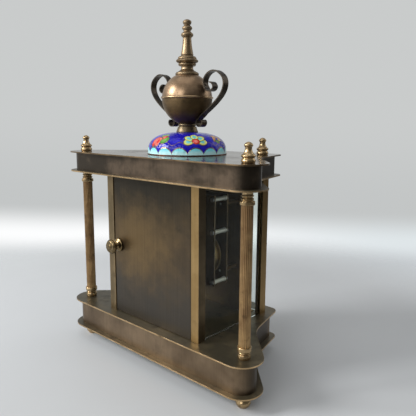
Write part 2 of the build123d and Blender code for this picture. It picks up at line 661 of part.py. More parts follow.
DOME_SEAT_Z = DOME_RIM_H + dome_height(DOME_SEAT_R, DOME_R, DOME_H - DOME_RIM_H)
BOWL_LOW_Z = DOME_SEAT_Z + sum(rise for _, _, rise in URN_FOOT)     # where the lower bowl meets its foot
BOWL_RIM_Z = BOWL_LOW_Z + BOWL_DEPTH * sqrt(1 - (URN_FOOT_TOP_R / BOWL_R) ** 2)
COVER_TOP_Z = BOWL_RIM_Z + COVER_RISE * sqrt(1 - (COLLAR_R / BOWL_R) ** 2)


def bowl_section(radius, depth, end_r):
    """Quarter ellipse from the rim at Z=0 to a flat of end_r, closed on the axis."""
    end_turn = acos(end_r / radius)
    turns = [end_turn * step / BOWL_STEPS for step in range(BOWL_STEPS + 1)]
    points = [(radius * cos(turn), depth * sin(turn)) for turn in turns]
    end_z = points[-1][1]
    return make_face(Wire([
        Spline(*points), Line((end_r, end_z), (0, end_z)), Line((0, end_z), (0, 0)),
        Line((0, 0), (radius, 0)),
    ]))


def bowl(depth, end_r):
    """Half of the urn's body, thin walled and open at its rim."""
    outer = revolve(Plane.XZ * bowl_section(BOWL_R, depth, end_r), Axis.Z)
    inner = revolve(Plane.XZ * bowl_section(BOWL_R - BOWL_WALL, depth - BOWL_WALL, end_r), Axis.Z)
    return outer - inner - rod(URN_ROD_R + STATIC_FIT, 0, depth)


def cover():
    """The upper half, with the rolled belt that stands out round the joint."""
    belt = Turning(BELT_EDGE_R).arc(BELT_R, BELT_EDGE_R, BELT_H)
    return bowl(COVER_RISE, COLLAR_R) + (belt.solid() - rod(BOWL_R - BOWL_WALL, 0, BELT_H))


def handle_rivets(side, fit=0.0):
    """Pins through a handle into the urn's wall. Both point to the middle of the urn's body."""
    centre_z = BOWL_RIM_Z - DOME_SEAT_Z
    pins = []
    for x, z in HANDLE_RIVET_AT:
        reach = hypot(x, z - centre_z) - (BOWL_R - BOWL_WALL - HANDLE_RIVET_END)
        turn = degrees(atan2(-x, centre_z - z))
        pins.append(Pos(x, 0, z) * Rot(0, turn, 0) * rod(HANDLE_RIVET_R + fit, -HANDLE_T, reach))
    return [Pos(0, 0, DOME_SEAT_Z) * (pin if side > 0 else mirror(pin, Plane.YZ)) for pin in pins]


def handle(side):
    """A flat strip rolled into a loop with a scroll at each end, standing beside the bowl."""
    centre = Spline(*HANDLE_PATH)
    faces = {}
    for sign in (-1, 1):
        points = []
        for step in range(HANDLE_STEPS + 1):
            spot, along = centre @ (step / HANDLE_STEPS), centre % (step / HANDLE_STEPS)
            points.append((spot.X - sign * along.Y * HANDLE_T / 2, spot.Y + sign * along.X * HANDLE_T / 2))
        faces[sign] = points
    strip = make_face(Wire([
        Spline(*faces[1]), Line(faces[1][-1], faces[-1][-1]),
        Spline(*faces[-1]), Line(faces[-1][0], faces[1][0]),
    ]))
    body = Pos(0, HANDLE_W / 2, DOME_SEAT_Z) * extrude(Plane.XZ * strip, HANDLE_W)
    body = body if side > 0 else mirror(body, Plane.YZ)
    for rivet in handle_rivets(side):
        body += rivet
    return body


def urn_rod():
    """The rod that draws the urn down on the top plate, with its nut underneath."""
    nut_low = -PLATE_T - URN_NUT_T
    body = rod(URN_ROD_R, nut_low, COVER_TOP_Z + URN_ROD_TOP - STATIC_FIT)
    body += Pos(0, 0, nut_low) * extrude(RegularPolygon(URN_NUT_R, 6), URN_NUT_T)
    return Pos(0, Y_URN, Z_TOP) * body


def make_urn():
    place = Pos(0, Y_URN, Z_TOP)
    nodes = {
        "dome_rim": place * ring(DOME_RIM_R, DOME_R - DOME_WALL, 0, DOME_RIM_H),
        "enamel_dome": place * dome(),
        "urn_foot": place * Pos(0, 0, DOME_SEAT_Z) * Turning(URN_FOOT_R).follow(URN_FOOT).solid(
            URN_ROD_R + STATIC_FIT),
        "urn_lower_bowl": place * Pos(0, 0, BOWL_RIM_Z) * Rot(180, 0, 0) * bowl(BOWL_DEPTH, URN_FOOT_TOP_R),
        "urn_cover": place * Pos(0, 0, BOWL_RIM_Z) * cover(),
        "urn_spire": place * Pos(0, 0, COVER_TOP_Z) * Turning(COLLAR_R).follow(SPIRE).solid(
            URN_ROD_R + STATIC_FIT, URN_ROD_TOP),
    }
    for name, side in SIDES.items():
        nodes[f"urn_handle_{name}"] = place * handle(side)
        for hole in handle_rivets(side, STATIC_FIT):
            nodes["urn_cover"] -= place * hole
            nodes["urn_lower_bowl"] -= place * hole
    return nodes


# ---- Dial side ----------------------------------------------------------------------------------
# The dial, hands and movement are drawn in their own frame: X across, Y up, and Z towards the
# dial, with the centre arbor on Z and the back plate's inner face at Z=0.
Y_MOVEMENT = Y_MASK + MOVEMENT_BACK
Z_DIAL = Z_FLOOR + DIAL_CENTRE_H
MOVEMENT = Pos(0, Y_MOVEMENT, Z_DIAL) * Rot(90, 0, 0)
MASK_REAR = MOVEMENT_BACK
DIAL_REAR = MASK_REAR + MASK_T
DIAL_FRONT = DIAL_REAR + DIAL_T
FRONT_PLATE_OUT = PLATE_SPACING + MOVEMENT_PLATE_T
HOUR_HAND_AT = DIAL_FRONT + HOUR_HAND_GAP
MINUTE_HAND_AT = HOUR_HAND_AT + HAND_T + MINUTE_HAND_GAP
CENTRE_ARBOR_END = MINUTE_HAND_AT + HAND_T + HAND_NUT_THREAD_L


def on_arbor(centre, part):
    return Pos(centre[0], centre[1], 0) * part


def polar(radius, angle):
    return (radius * cos(radians(angle)), radius * sin(radians(angle)))


def hand(length, eye_r, hole_r, at, spade_w):
    """A spade hand that points up, with an eye on its pipe and a short tail. The shares of its
    length and spade give each point's height and distance from the middle."""
    half = [(1.5, 0.0), (0.7, 0.62), (spade_w / 2, 0.70), (0.5, 0.84), (0.0, 1.0)]
    tail = (0.9, -HAND_TAIL)
    right = [(x, share * length) for x, share in [tail] + half]
    left = [(-x, y) for x, y in reversed(right[:-1])]
    face = make_face(Polyline(*right, *left, close=True)) + Circle(eye_r) - Circle(hole_r)
    return Pos(0, 0, at) * extrude(face, HAND_T)


def make_dial():
    low, high = -DIAL_CENTRE_H, COLUMN_H - DIAL_CENTRE_H
    mask = block(-MASK_HALF_W, MASK_HALF_W, low, high, MASK_REAR, DIAL_REAR)
    for edge, inward in ((low, 1), (high, -1)):
        y0, y1 = sorted((edge, edge + inward * MASK_T))
        flange = block(-MASK_HALF_W, MASK_HALF_W, y0, y1, DIAL_REAR, DIAL_REAR + MASK_FLANGE)
        for x in (-MASK_SCREW_X, MASK_SCREW_X):
            flange -= Pos(x, edge, DIAL_REAR + MASK_FLANGE / 2) * Rot(90, 0, 0) * Cylinder(
                MASK_SCREW_R + STATIC_FIT, 2 * MASK_FLANGE)
        mask += flange
    mask -= rod(DIAL_HOLE_R, MASK_REAR, DIAL_REAR)
    bezel = Turning(BEZEL_R).follow(BEZEL)
    bezel.line(BEZEL_BORE_R, DIAL_T + BEZEL_LIP - bezel.height)
    bezel_ring = bezel.solid() - rod(BEZEL_BORE_R, 0, bezel.height)
    bezel_ring -= rod(DIAL_R + STATIC_FIT, 0, DIAL_T)
    nut = Turning(HAND_NUT_R).line(HAND_NUT_R, HAND_NUT_THREAD_L)
    nut.arc(0.95 * CANNON_R, 0.4 * CANNON_R, HAND_NUT_L - HAND_NUT_THREAD_L)
    return {
        "dial_mask": MOVEMENT * mask,
        "dial_disc": MOVEMENT * ring(DIAL_R, DIAL_HOLE_R, DIAL_REAR, DIAL_FRONT),
        "dial_bezel": MOVEMENT * Pos(0, 0, DIAL_REAR) * bezel_ring,
        "hour_hand": MOVEMENT * Rot(0, 0, HOUR_REST) * hand(
            HOUR_HAND_L, HOUR_EYE_R, HOUR_PIPE_R + STATIC_FIT, HOUR_HAND_AT, HOUR_SPADE_W),
        "minute_hand": MOVEMENT * Rot(0, 0, MINUTE_REST) * hand(
            MINUTE_HAND_L, MINUTE_EYE_R, CANNON_R + STATIC_FIT, MINUTE_HAND_AT, MINUTE_SPADE_W),
        "hand_nut": MOVEMENT * Pos(0, 0, MINUTE_HAND_AT + HAND_T) * nut.solid(
            ARBOR_R + STATIC_FIT, HAND_NUT_THREAD_L),
    }


# ---- Movement -----------------------------------------------------------------------------------
BARREL_AT = polar(MODULE_GREAT * (GREAT_TEETH + CENTRE_LEAVES) / 2, BARREL_ANGLE)
CENTRE_AT = (0.0, 0.0)
THIRD_AT = polar(MODULE_CENTRE * (CENTRE_TEETH + THIRD_LEAVES) / 2, THIRD_ANGLE)
ESCAPE_DISTANCE = MODULE_THIRD * (THIRD_TEETH + ESCAPE_LEAVES) / 2
ESCAPE_AT = (0.0, THIRD_AT[1] + sqrt(ESCAPE_DISTANCE**2 - THIRD_AT[0] ** 2))
PALLET_AT = (0.0, ESCAPE_AT[1] + ESCAPE_R / cos(radians(PALLET_SPAN)))
ESCAPE_ANGLE = degrees(atan2(ESCAPE_AT[1] - THIRD_AT[1], ESCAPE_AT[0] - THIRD_AT[0]))
MINUTE_AT = polar(MODULE_CANNON * (CANNON_LEAVES + MINUTE_TEETH) / 2, MINUTE_ANGLE)
MODULE_HOUR = 2 * hypot(*MINUTE_AT) / (HOUR_TEETH + MINUTE_LEAVES)

GREAT_WHEEL_AT = BARREL_LOW + BARREL_L
CANNON_LOW = FRONT_PLATE_OUT + CANNON_GAP
MINUTE_WHEEL_AT = CANNON_LOW + MINUTE_WHEEL_UP
HOUR_WHEEL_AT = MINUTE_WHEEL_AT + HOUR_WHEEL_UP
HOUR_PINION_END = HOUR_WHEEL_AT + WHEEL_T + LEAF_OVERLAP
RATCHET_LOW = -MOVEMENT_PLATE_T - RATCHET_GAP - RATCHET_T
WINDING_SHOULDER = RATCHET_LOW - RATCHET_GAP
PENDULUM_AT = -MOVEMENT_PLATE_T - PENDULUM_BEHIND - PENDULUM_ROD_R


def gear_face(teeth, module, is_pinion, first):
    """Outline of a toothed wheel with its first tooth at an angle. Teeth are a little narrower
    than half the pitch, so that a pair turns freely."""
    pitch = 360 / teeth
    pitch_r = module * teeth / 2
    widths = [(pitch_r + up * module, share) for up, share in (LEAF if is_pinion else WHEEL_TOOTH)]
    points = []
    for tooth in range(teeth):
        centre = first + tooth * pitch
        for radius, share in widths:
            points.append(polar(radius, centre - share * pitch / 2))
        for radius, share in reversed(widths):
            points.append(polar(radius, centre + share * pitch / 2))
    return make_face(Polyline(*points, close=True))


def wheel(teeth, module, first, low, hub_r):
    """A crossed-out wheel: toothed rim, spokes and hub."""
    body = gear_face(teeth, module, False, first)
    inner_r = module * (teeth / 2 + WHEEL_TOOTH[0][0]) - WHEEL_RIM
    if inner_r > hub_r + SPOKE_W:
        window = Circle(inner_r) - Circle(hub_r)
        for spoke in range(SPOKES):
            window -= Rot(0, 0, first + spoke * 360 / SPOKES) * Rectangle(3 * inner_r, SPOKE_W)
        body -= window
    return Pos(0, 0, low) * extrude(body, WHEEL_T)


def pinion(leaves, module, first, low, high):
    return Pos(0, 0, low) * extrude(gear_face(leaves, module, True, first), high - low)


def arbor(radius=ARBOR_R):
    """A shaft between the plates, with a thinner pivot in each."""
    pivots = rod(PIVOT_R, -MOVEMENT_PLATE_T, FRONT_PLATE_OUT)
    return rod(radius, END_SHAKE, PLATE_SPACING - END_SHAKE) + pivots


def facing(angle, leaves):
    """First-tooth angle of a follower whose space, not its tooth, meets the driver."""
    return angle + 180 + 180 / leaves


def centre_wheel():
    """Centre arbor, which runs on through the dial to carry the minute hand."""
    body = rod(ARBOR_R, END_SHAKE, CENTRE_ARBOR_END - STATIC_FIT)
    body += rod(PIVOT_R, -MOVEMENT_PLATE_T, END_SHAKE)
    body += wheel(CENTRE_TEETH, MODULE_CENTRE, THIRD_ANGLE, CENTRE_WHEEL_AT, ARBOR_R + WHEEL_HUB)
    body += pinion(CENTRE_LEAVES, MODULE_GREAT, facing(BARREL_ANGLE + 180, CENTRE_LEAVES),
                   GREAT_WHEEL_AT - LEAF_OVERLAP, GREAT_WHEEL_AT + GREAT_T + LEAF_OVERLAP)
    return body


def third_wheel():
    body = arbor()
    body += pinion(THIRD_LEAVES, MODULE_CENTRE, facing(THIRD_ANGLE, THIRD_LEAVES),
                   CENTRE_WHEEL_AT - LEAF_OVERLAP, CENTRE_WHEEL_AT + WHEEL_T + LEAF_OVERLAP)
    body += wheel(THIRD_TEETH, MODULE_THIRD, ESCAPE_ANGLE, THIRD_WHEEL_AT, ARBOR_R + WHEEL_HUB)
    return on_arbor(THIRD_AT, body)


def escape_face():
    """Pointed teeth, phased so that each pallet stands a quarter pitch from a tooth."""
    pitch = 360 / ESCAPE_TEETH
    first = 90 - PALLET_SPAN + pitch / 4
    points = []
    for tooth in range(ESCAPE_TEETH):
        centre = first + tooth * pitch
        for radius, share in ((ESCAPE_ROOT_R, -ESCAPE_ROOT), (ESCAPE_R, -ESCAPE_TIP),
                              (ESCAPE_R, ESCAPE_TIP), (ESCAPE_ROOT_R, ESCAPE_ROOT)):
            points.append(polar(radius, centre + share * pitch / 2))
    face = make_face(Polyline(*points, close=True))
    window = Circle(ESCAPE_ROOT_R - ESCAPE_RIM) - Circle(ESCAPE_HUB_R)
    for spoke in range(SPOKES):
        window -= Rot(0, 0, PALLET_SPAN + spoke * 360 / SPOKES) * Rectangle(3 * ESCAPE_R, ESCAPE_RIM)
    return face - window


def escape_wheel():
    body = arbor(ESCAPE_ARBOR_R)
    body += pinion(ESCAPE_LEAVES, MODULE_THIRD, facing(ESCAPE_ANGLE, ESCAPE_LEAVES),
                   THIRD_WHEEL_AT - LEAF_OVERLAP, THIRD_WHEEL_AT + WHEEL_T + LEAF_OVERLAP)
    body += Pos(0, 0, ESCAPE_WHEEL_AT) * extrude(escape_face(), ESCAPE_T)
    return on_arbor(ESCAPE_AT, body)


def pallet_point(side, radius, shift):
    """A point by its distance from the escape arbor and its shift across one pallet's line, seen
    from the pallet arbor."""
    outward = (side * sin(radians(PALLET_SPAN)), cos(radians(PALLET_SPAN)))
    drop = ESCAPE_R / cos(radians(PALLET_SPAN))
    return (outward[0] * radius + outward[1] * shift, outward[1] * radius - outward[0] * shift - drop)


def anchor():
    """Pallet arbor with its two-armed anchor. The arbor runs on through the back plate and
    carries the pendulum."""
    low = ESCAPE_R + PALLET_GAP
    middle, high = low + 0.4 * PALLET_L, low + PALLET_L
    arms = Circle(ANCHOR_HUB_R)
    for side in SIDES.values():
        nib = [(low, -PALLET_TIP_W / 2), (low, PALLET_TIP_W / 2), (middle, PALLET_W / 2),
               (high, PALLET_W / 2), (high, -PALLET_W / 2), (middle, -PALLET_W / 2)]
        arms += make_face(Polyline(*[pallet_point(side, *spot) for spot in nib], close=True))
        outer, inner = pallet_point(side, high, 0), pallet_point(side, middle, 0)
        arms += make_face(Polyline((0, ANCHOR_ARM_W / 2), outer, inner, (0, -ANCHOR_ARM_W / 2), close=True))
    body = rod(PIVOT_R, PLATE_SPACING - END_SHAKE, FRONT_PLATE_OUT)
    body += rod(ARBOR_R, PENDULUM_AT - PENDULUM_ROD_R - PENDULUM_END, PLATE_SPACING - END_SHAKE)
    body += Pos(0, 0, ESCAPE_WHEEL_AT + (ESCAPE_T - PALLET_T) / 2) * extrude(arms, PALLET_T)
    return on_arbor(PALLET_AT, body)


def pendulum():
    """Wire rod with a flat eye on the pallet arbor, a lens-shaped bob and its rating nut."""
    rod_low = PENDULUM_L + BOB_R + PENDULUM_TAIL
    eye_half = PENDULUM_ROD_R + PENDULUM_EYE_PROUD
    body = Pos(0, 0, PENDULUM_AT) * Rot(90, 0, 0) * rod(PENDULUM_ROD_R, 0.7 * PENDULUM_EYE_R, rod_low)
    body += ring(PENDULUM_EYE_R, ARBOR_R + STATIC_FIT, PENDULUM_AT - eye_half, PENDULUM_AT + eye_half)
    nut = Pos(0, 0, PENDULUM_AT) * Rot(90, 0, 0) * rod(
        RATING_NUT_R, rod_low - RATING_NUT_H, rod_low)
    face_h = (BOB_T - BOB_EDGE_T) / 2
    lens = Turning(BOB_FACE_R).arc(BOB_SHOULDER_R, BOB_R, face_h).line(BOB_R, BOB_EDGE_T)
    lens.arc(BOB_SHOULDER_R, BOB_FACE_R, face_h)
    bob_rear = min(PENDULUM_AT - BOB_T / 2, -MOVEMENT_PLATE_T - BOB_BACK - BOB_T)
    return on_arbor(PALLET_AT, body + nut + Pos(0, -PENDULUM_L, bob_rear) * lens.solid())


def spring_barrel():
    """Drum with the great wheel round its front end, closed by it and open to its arbor."""
    bore = BARREL_ARBOR_R + RUN_FIT
    drum = ring(BARREL_R, BARREL_R - BARREL_WALL, BARREL_LOW, GREAT_WHEEL_AT)
    drum += ring(BARREL_R, bore, BARREL_LOW, BARREL_LOW + BARREL_WALL)
    teeth = gear_face(GREAT_TEETH, MODULE_GREAT, False, BARREL_ANGLE + 180)
    great = Pos(0, 0, GREAT_WHEEL_AT) * extrude(teeth - Circle(bore), GREAT_T)
    return on_arbor(BARREL_AT, drum + great)


def mainspring():
    """The coiled spring as the ring that its turns fill, against the drum's wall."""
    body = ring(BARREL_R - BARREL_WALL - STATIC_FIT, MAINSPRING_BORE_R,
                BARREL_LOW + BARREL_WALL + MAINSPRING_GAP, GREAT_WHEEL_AT - MAINSPRING_GAP)
    return on_arbor(BARREL_AT, body)


def winding_arbor():
    """Barrel arbor, squared behind the back plate for a key."""
    front = GREAT_WHEEL_AT + GREAT_T + BARREL_ARBOR_UP
    body = rod(BARREL_ARBOR_R, END_SHAKE, front) + rod(BARREL_FRONT_R, front, FRONT_PLATE_OUT)
    body += rod(BARREL_BACK_R, WINDING_SHOULDER, END_SHAKE)
    square = extrude(Rectangle(WINDING_SQUARE, WINDING_SQUARE), WINDING_SQUARE_L)
    return on_arbor(BARREL_AT, body + Pos(0, 0, WINDING_SHOULDER - WINDING_SQUARE_L) * square)


def ratchet_wheel():
    """Saw-toothed wheel on the winding arbor, behind the back plate."""
    points = []
    for tooth in range(RATCHET_TEETH):
        start = 90 + tooth * 360 / RATCHET_TEETH
        points += [polar(RATCHET_ROOT_R, start), polar(RATCHET_R, start)]
    face = make_face(Polyline(*points, close=True)) - Circle(BARREL_BACK_R + STATIC_FIT)
    return on_arbor(BARREL_AT, Pos(0, 0, RATCHET_LOW) * extrude(face, RATCHET_T))


def click_parts():
    """Pawl that drops behind a ratchet tooth, and the stud that it turns on."""
    tip_r = RATCHET_ROOT_R + CLICK_TIP_GAP
    tip_turn = 90 - degrees(CLICK_FACE_GAP / RATCHET_ROOT_R)
    tip = polar(tip_r, tip_turn)
    back = polar(tip_r + CLICK_TIP_W, tip_turn)
    heel = polar(tip_r + CLICK_LEAN * CLICK_TIP_W, tip_turn - degrees(CLICK_LEAN * CLICK_W / 2 / tip_r))
    along = atan2(CLICK_UP - tip[1], CLICK_RIGHT - tip[0])
    across = (-sin(along) * CLICK_W / 2, cos(along) * CLICK_W / 2)
    pivot = (CLICK_RIGHT, CLICK_UP)
    body = make_face(Polyline(
        tip, heel, (pivot[0] - across[0], pivot[1] - across[1]), (pivot[0] + across[0], pivot[1] + across[1]),
        back, close=True))
    body = body + Pos(*pivot) * Circle(CLICK_EYE_R) - Pos(*pivot) * Circle(CLICK_PIN_R + RUN_FIT)
    pawl = Pos(0, 0, RATCHET_LOW) * extrude(body, RATCHET_T)
    head_high = RATCHET_LOW - RATCHET_GAP
    stud = rod(CLICK_PIN_R, head_high, 0) + rod(CLICK_HEAD_R, head_high - CLICK_HEAD_T, head_high)
    return on_arbor(BARREL_AT, pawl), on_arbor(BARREL_AT, Pos(*pivot) * stud)


def cannon_pinion():
    """Sleeve that turns with the centre arbor and carries the minute hand."""
    body = rod(CANNON_R, CANNON_LOW, MINUTE_HAND_AT + HAND_T)
    body += pinion(CANNON_LEAVES, MODULE_CANNON, MINUTE_ANGLE + 180 / CANNON_LEAVES,
                   CANNON_LOW, CANNON_LOW + CANNON_LEAF_L)
    return body - rod(ARBOR_R + STATIC_FIT, CANNON_LOW, MINUTE_HAND_AT + HAND_T)


def minute_wheel():
    """Wheel and pinion of the motion work, on a stud in the front plate."""
    body = wheel(MINUTE_TEETH, MODULE_CANNON, MINUTE_ANGLE + 180, MINUTE_WHEEL_AT, STUD_R + WHEEL_HUB)
    body += pinion(MINUTE_LEAVES, MODULE_HOUR, MINUTE_ANGLE + 180 + 180 / MINUTE_LEAVES,
                   MINUTE_WHEEL_AT + WHEEL_T, HOUR_PINION_END)
    return on_arbor(MINUTE_AT, body - rod(STUD_R + RUN_FIT, MINUTE_WHEEL_AT, HOUR_PINION_END))


def hour_wheel():
    """Hour wheel with its pipe, running freely on the cannon pinion's sleeve."""
    body = wheel(HOUR_TEETH, MODULE_HOUR, MINUTE_ANGLE, HOUR_WHEEL_AT, HOUR_PIPE_R + WHEEL_HUB / 2)
    body += rod(HOUR_PIPE_R, HOUR_WHEEL_AT, HOUR_HAND_AT + HAND_T)
    return body - rod(CANNON_R + RUN_FIT, HOUR_WHEEL_AT, HOUR_HAND_AT + HAND_T)


def movement_plates():
    """The two plates, drilled for every pivot, pillar and stud."""
    half_w, half_h = MOVEMENT_W / 2, MOVEMENT_H / 2
    x, y = half_w - PILLAR_EDGE, half_h - PILLAR_END_EDGE
    pillars = [(-x, y), (x, y), (-x, -y), (x, -y), (-x, MID_PILLAR_UP)]
    dial_pillars = [(sx * DIAL_PILLAR_AT, sy * DIAL_PILLAR_AT) for sx in (-1, 1) for sy in (-1, 1)]
    outline = Rectangle(MOVEMENT_W, MOVEMENT_H)

    def sheet(low, holes):
        body = Pos(0, 0, low) * extrude(outline, MOVEMENT_PLATE_T)
        for (hx, hy), radius in holes:
            body -= Pos(hx, hy, 0) * rod(radius, low, low + MOVEMENT_PLATE_T)
        return body

    screw_hole = PILLAR_SCREW_R + STATIC_FIT
    shared = [(place, screw_hole) for place in pillars]
    shared += [(THIRD_AT, PIVOT_R + RUN_FIT), (ESCAPE_AT, PIVOT_R + RUN_FIT)]
    click_at = (BARREL_AT[0] + CLICK_RIGHT, BARREL_AT[1] + CLICK_UP)
    back = sheet(-MOVEMENT_PLATE_T, shared + [
        (CENTRE_AT, PIVOT_R + RUN_FIT), (PALLET_AT, ARBOR_R + RUN_FIT),
        (BARREL_AT, BARREL_BACK_R + RUN_FIT), (click_at, CLICK_PIN_R + STATIC_FIT)])
    front = sheet(PLATE_SPACING, shared + [
        (CENTRE_AT, ARBOR_R + RUN_FIT), (PALLET_AT, PIVOT_R + RUN_FIT),
        (BARREL_AT, BARREL_FRONT_R + RUN_FIT), (MINUTE_AT, STUD_R + STATIC_FIT),
    ] + [(place, screw_hole) for place in dial_pillars])
    between = [Pos(px, py, 0) * pillar(0, PLATE_SPACING) for px, py in pillars]
    spans = [Pos(px, py, 0) * (rod(PILLAR_R, FRONT_PLATE_OUT, MASK_REAR)
                               + rod(PILLAR_SCREW_R, PLATE_SPACING, FRONT_PLATE_OUT))
             for px, py in dial_pillars]
    screws = []
    for px, py in pillars:
        for face, inner in ((-MOVEMENT_PLATE_T, 0), (FRONT_PLATE_OUT, PLATE_SPACING)):
            top = face + (PILLAR_HEAD_T if face > inner else -PILLAR_HEAD_T)
            screws.append(Pos(px, py, 0) * (rod(PILLAR_SCREW_R, *sorted((inner, face)))
                                            + rod(PILLAR_HEAD_R, *sorted((face, top)))))
    cap = HOUR_PINION_END + STUD_GAP
    stud = Pos(MINUTE_AT[0], MINUTE_AT[1], 0) * (
        rod(STUD_R, PLATE_SPACING, cap)
        + rod(STUD_COLLAR_R, FRONT_PLATE_OUT, MINUTE_WHEEL_AT - STUD_GAP)
        + rod(STUD_COLLAR_R, cap, cap + STUD_COLLAR_T))
    return back, front, between, spans, screws, stud


def pillar(low, high):
    """A turned pillar with a waist, its ends flat against the plates."""
    turned = Turning(PILLAR_R).line(PILLAR_R, PILLAR_END_H)
    turned.line(PILLAR_WAIST_R, 0).line(PILLAR_WAIST_R, high - low - 2 * PILLAR_END_H)
    turned.line(PILLAR_R, 0).line(PILLAR_R, PILLAR_END_H)
    return Pos(0, 0, low) * turned.solid()


def make_movement():
    back, front, between, spans, screws, stud = movement_plates()
    pawl, click_stud = click_parts()
    local = {
        "movement_back_plate": back,
        "movement_front_plate": front,
        "movement_pillars": Compound(between + spans),
        "movement_screws": Compound(screws + [stud, click_stud]),
        "spring_barrel": spring_barrel(),
        "mainspring": mainspring(),
        "winding_arbor": winding_arbor(),
        "ratchet_wheel": ratchet_wheel(),
        "click": pawl,
        "centre_wheel": centre_wheel(),
        "cannon_pinion": cannon_pinion(),
        "minute_wheel": minute_wheel(),
        "hour_wheel": hour_wheel(),
        "third_wheel": third_wheel(),
        "escape_wheel": escape_wheel(),
        "anchor": anchor(),
        "pendulum": pendulum(),
    }
    return {name: MOVEMENT * shape for name, shape in local.items()}


def main():
    os.makedirs("parts", exist_ok=True)
    nodes = {}
    for section in (make_base, make_frieze, make_supports, make_case, make_door, make_urn,
                    make_dial, make_movement):
        nodes.update(section())
    for name, shape in nodes.items():
        export_step(shape, f"parts/{name}.step")
    print(len(nodes), "nodes")


main()
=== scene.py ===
"""A brass mantel clock with a covered urn: its finishes, its fine pieces, the studio and the camera.

The clock's frame is in metres, +Z up, with the dial looking along -Y and the back door along +Y.
Sizes below are in millimetres and become metres when a piece is finished.
"""

import json
import logging
import math
from dataclasses import dataclass
from enum import Enum
from itertools import product
from typing import Callable, Optional, Sequence

import bmesh
import bpy
from mathutils import Matrix, Vector

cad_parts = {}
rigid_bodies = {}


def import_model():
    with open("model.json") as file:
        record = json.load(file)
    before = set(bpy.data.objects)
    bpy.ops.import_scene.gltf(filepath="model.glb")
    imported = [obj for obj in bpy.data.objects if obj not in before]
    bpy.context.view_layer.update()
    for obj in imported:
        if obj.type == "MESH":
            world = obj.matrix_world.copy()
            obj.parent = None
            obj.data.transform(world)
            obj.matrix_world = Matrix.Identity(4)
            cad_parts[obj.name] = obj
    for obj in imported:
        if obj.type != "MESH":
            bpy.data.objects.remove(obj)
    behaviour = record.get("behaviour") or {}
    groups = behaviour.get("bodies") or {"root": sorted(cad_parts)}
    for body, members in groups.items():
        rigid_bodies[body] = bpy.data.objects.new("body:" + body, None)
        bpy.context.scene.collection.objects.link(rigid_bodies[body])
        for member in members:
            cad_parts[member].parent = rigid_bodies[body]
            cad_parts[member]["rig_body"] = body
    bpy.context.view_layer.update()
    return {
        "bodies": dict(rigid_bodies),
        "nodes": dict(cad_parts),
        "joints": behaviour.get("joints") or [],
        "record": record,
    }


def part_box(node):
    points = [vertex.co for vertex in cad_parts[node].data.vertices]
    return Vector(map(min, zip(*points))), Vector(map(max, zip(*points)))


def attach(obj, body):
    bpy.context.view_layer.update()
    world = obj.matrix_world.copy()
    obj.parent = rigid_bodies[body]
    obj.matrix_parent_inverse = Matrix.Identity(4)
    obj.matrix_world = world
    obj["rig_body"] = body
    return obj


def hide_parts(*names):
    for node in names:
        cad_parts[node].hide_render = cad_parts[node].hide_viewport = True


LOG = logging.getLogger("mantel_clock")

MM = 0.001
SPIN_STEPS = 96
SHARP_ANGLE = math.radians(28.0)     # the smallest corner that is rounded or kept crisp
ROUNDED_ANGLE = math.radians(50.0)   # the smallest crisp corner once edges are rounded
FLAT_ANGLE = math.radians(0.5)       # faces that differ less than this are merged
FACES_ALONG = 0.5                    # part of a face's normal from which it looks along an axis
SPIN_WELD = 1e-4                     # points of a spun mesh closer than this, in millimetres, are one
NODE_WELD = 0.002                    # the same for a node's mesh
MINUTES = 60
MINUTES_PER_FIGURE = 5
DEGREES_PER_HOUR = 30.0

BMesh = bmesh.types.BMesh
Colour = tuple[float, float, float]
Pair = tuple[float, float]
Outline = Sequence[tuple[Optional[float], float, float]]
Points = Sequence[Pair]
Socket = bpy.types.NodeSocket


class Slot(Enum):
    """The record's material slots, passed along with new pieces but not used to give them their finish."""

    PLATE = "plate_brass"
    BAND = "band_bronze"
    POST = "post_brass"
    COLUMN = "column_brass"
    TURNED = "turned_brass"
    DOOR = "door_brass"
    URN = "urn_brass"
    HANDLE = "handle_bronze"
    ENAMEL = "enamel"
    RIM = "rim_copper"
    DIAL = "dial_enamel"
    MASK = "mask_brass"
    HAND = "hand_steel"
    MOVEMENT = "movement_brass"
    STEEL = "movement_steel"
    GLASS = "glass"


class Grain(Enum):
    """Which way the fine lines of a brushed or turned surface run, as pattern repeats per metre."""

    UPRIGHT = (1500.0, 1500.0, 14.0)
    ALONG_X = (14.0, 1500.0, 1500.0)
    TURNED = (30.0, 30.0, 2600.0)
    SHEET = (26.0, 900.0, 900.0)


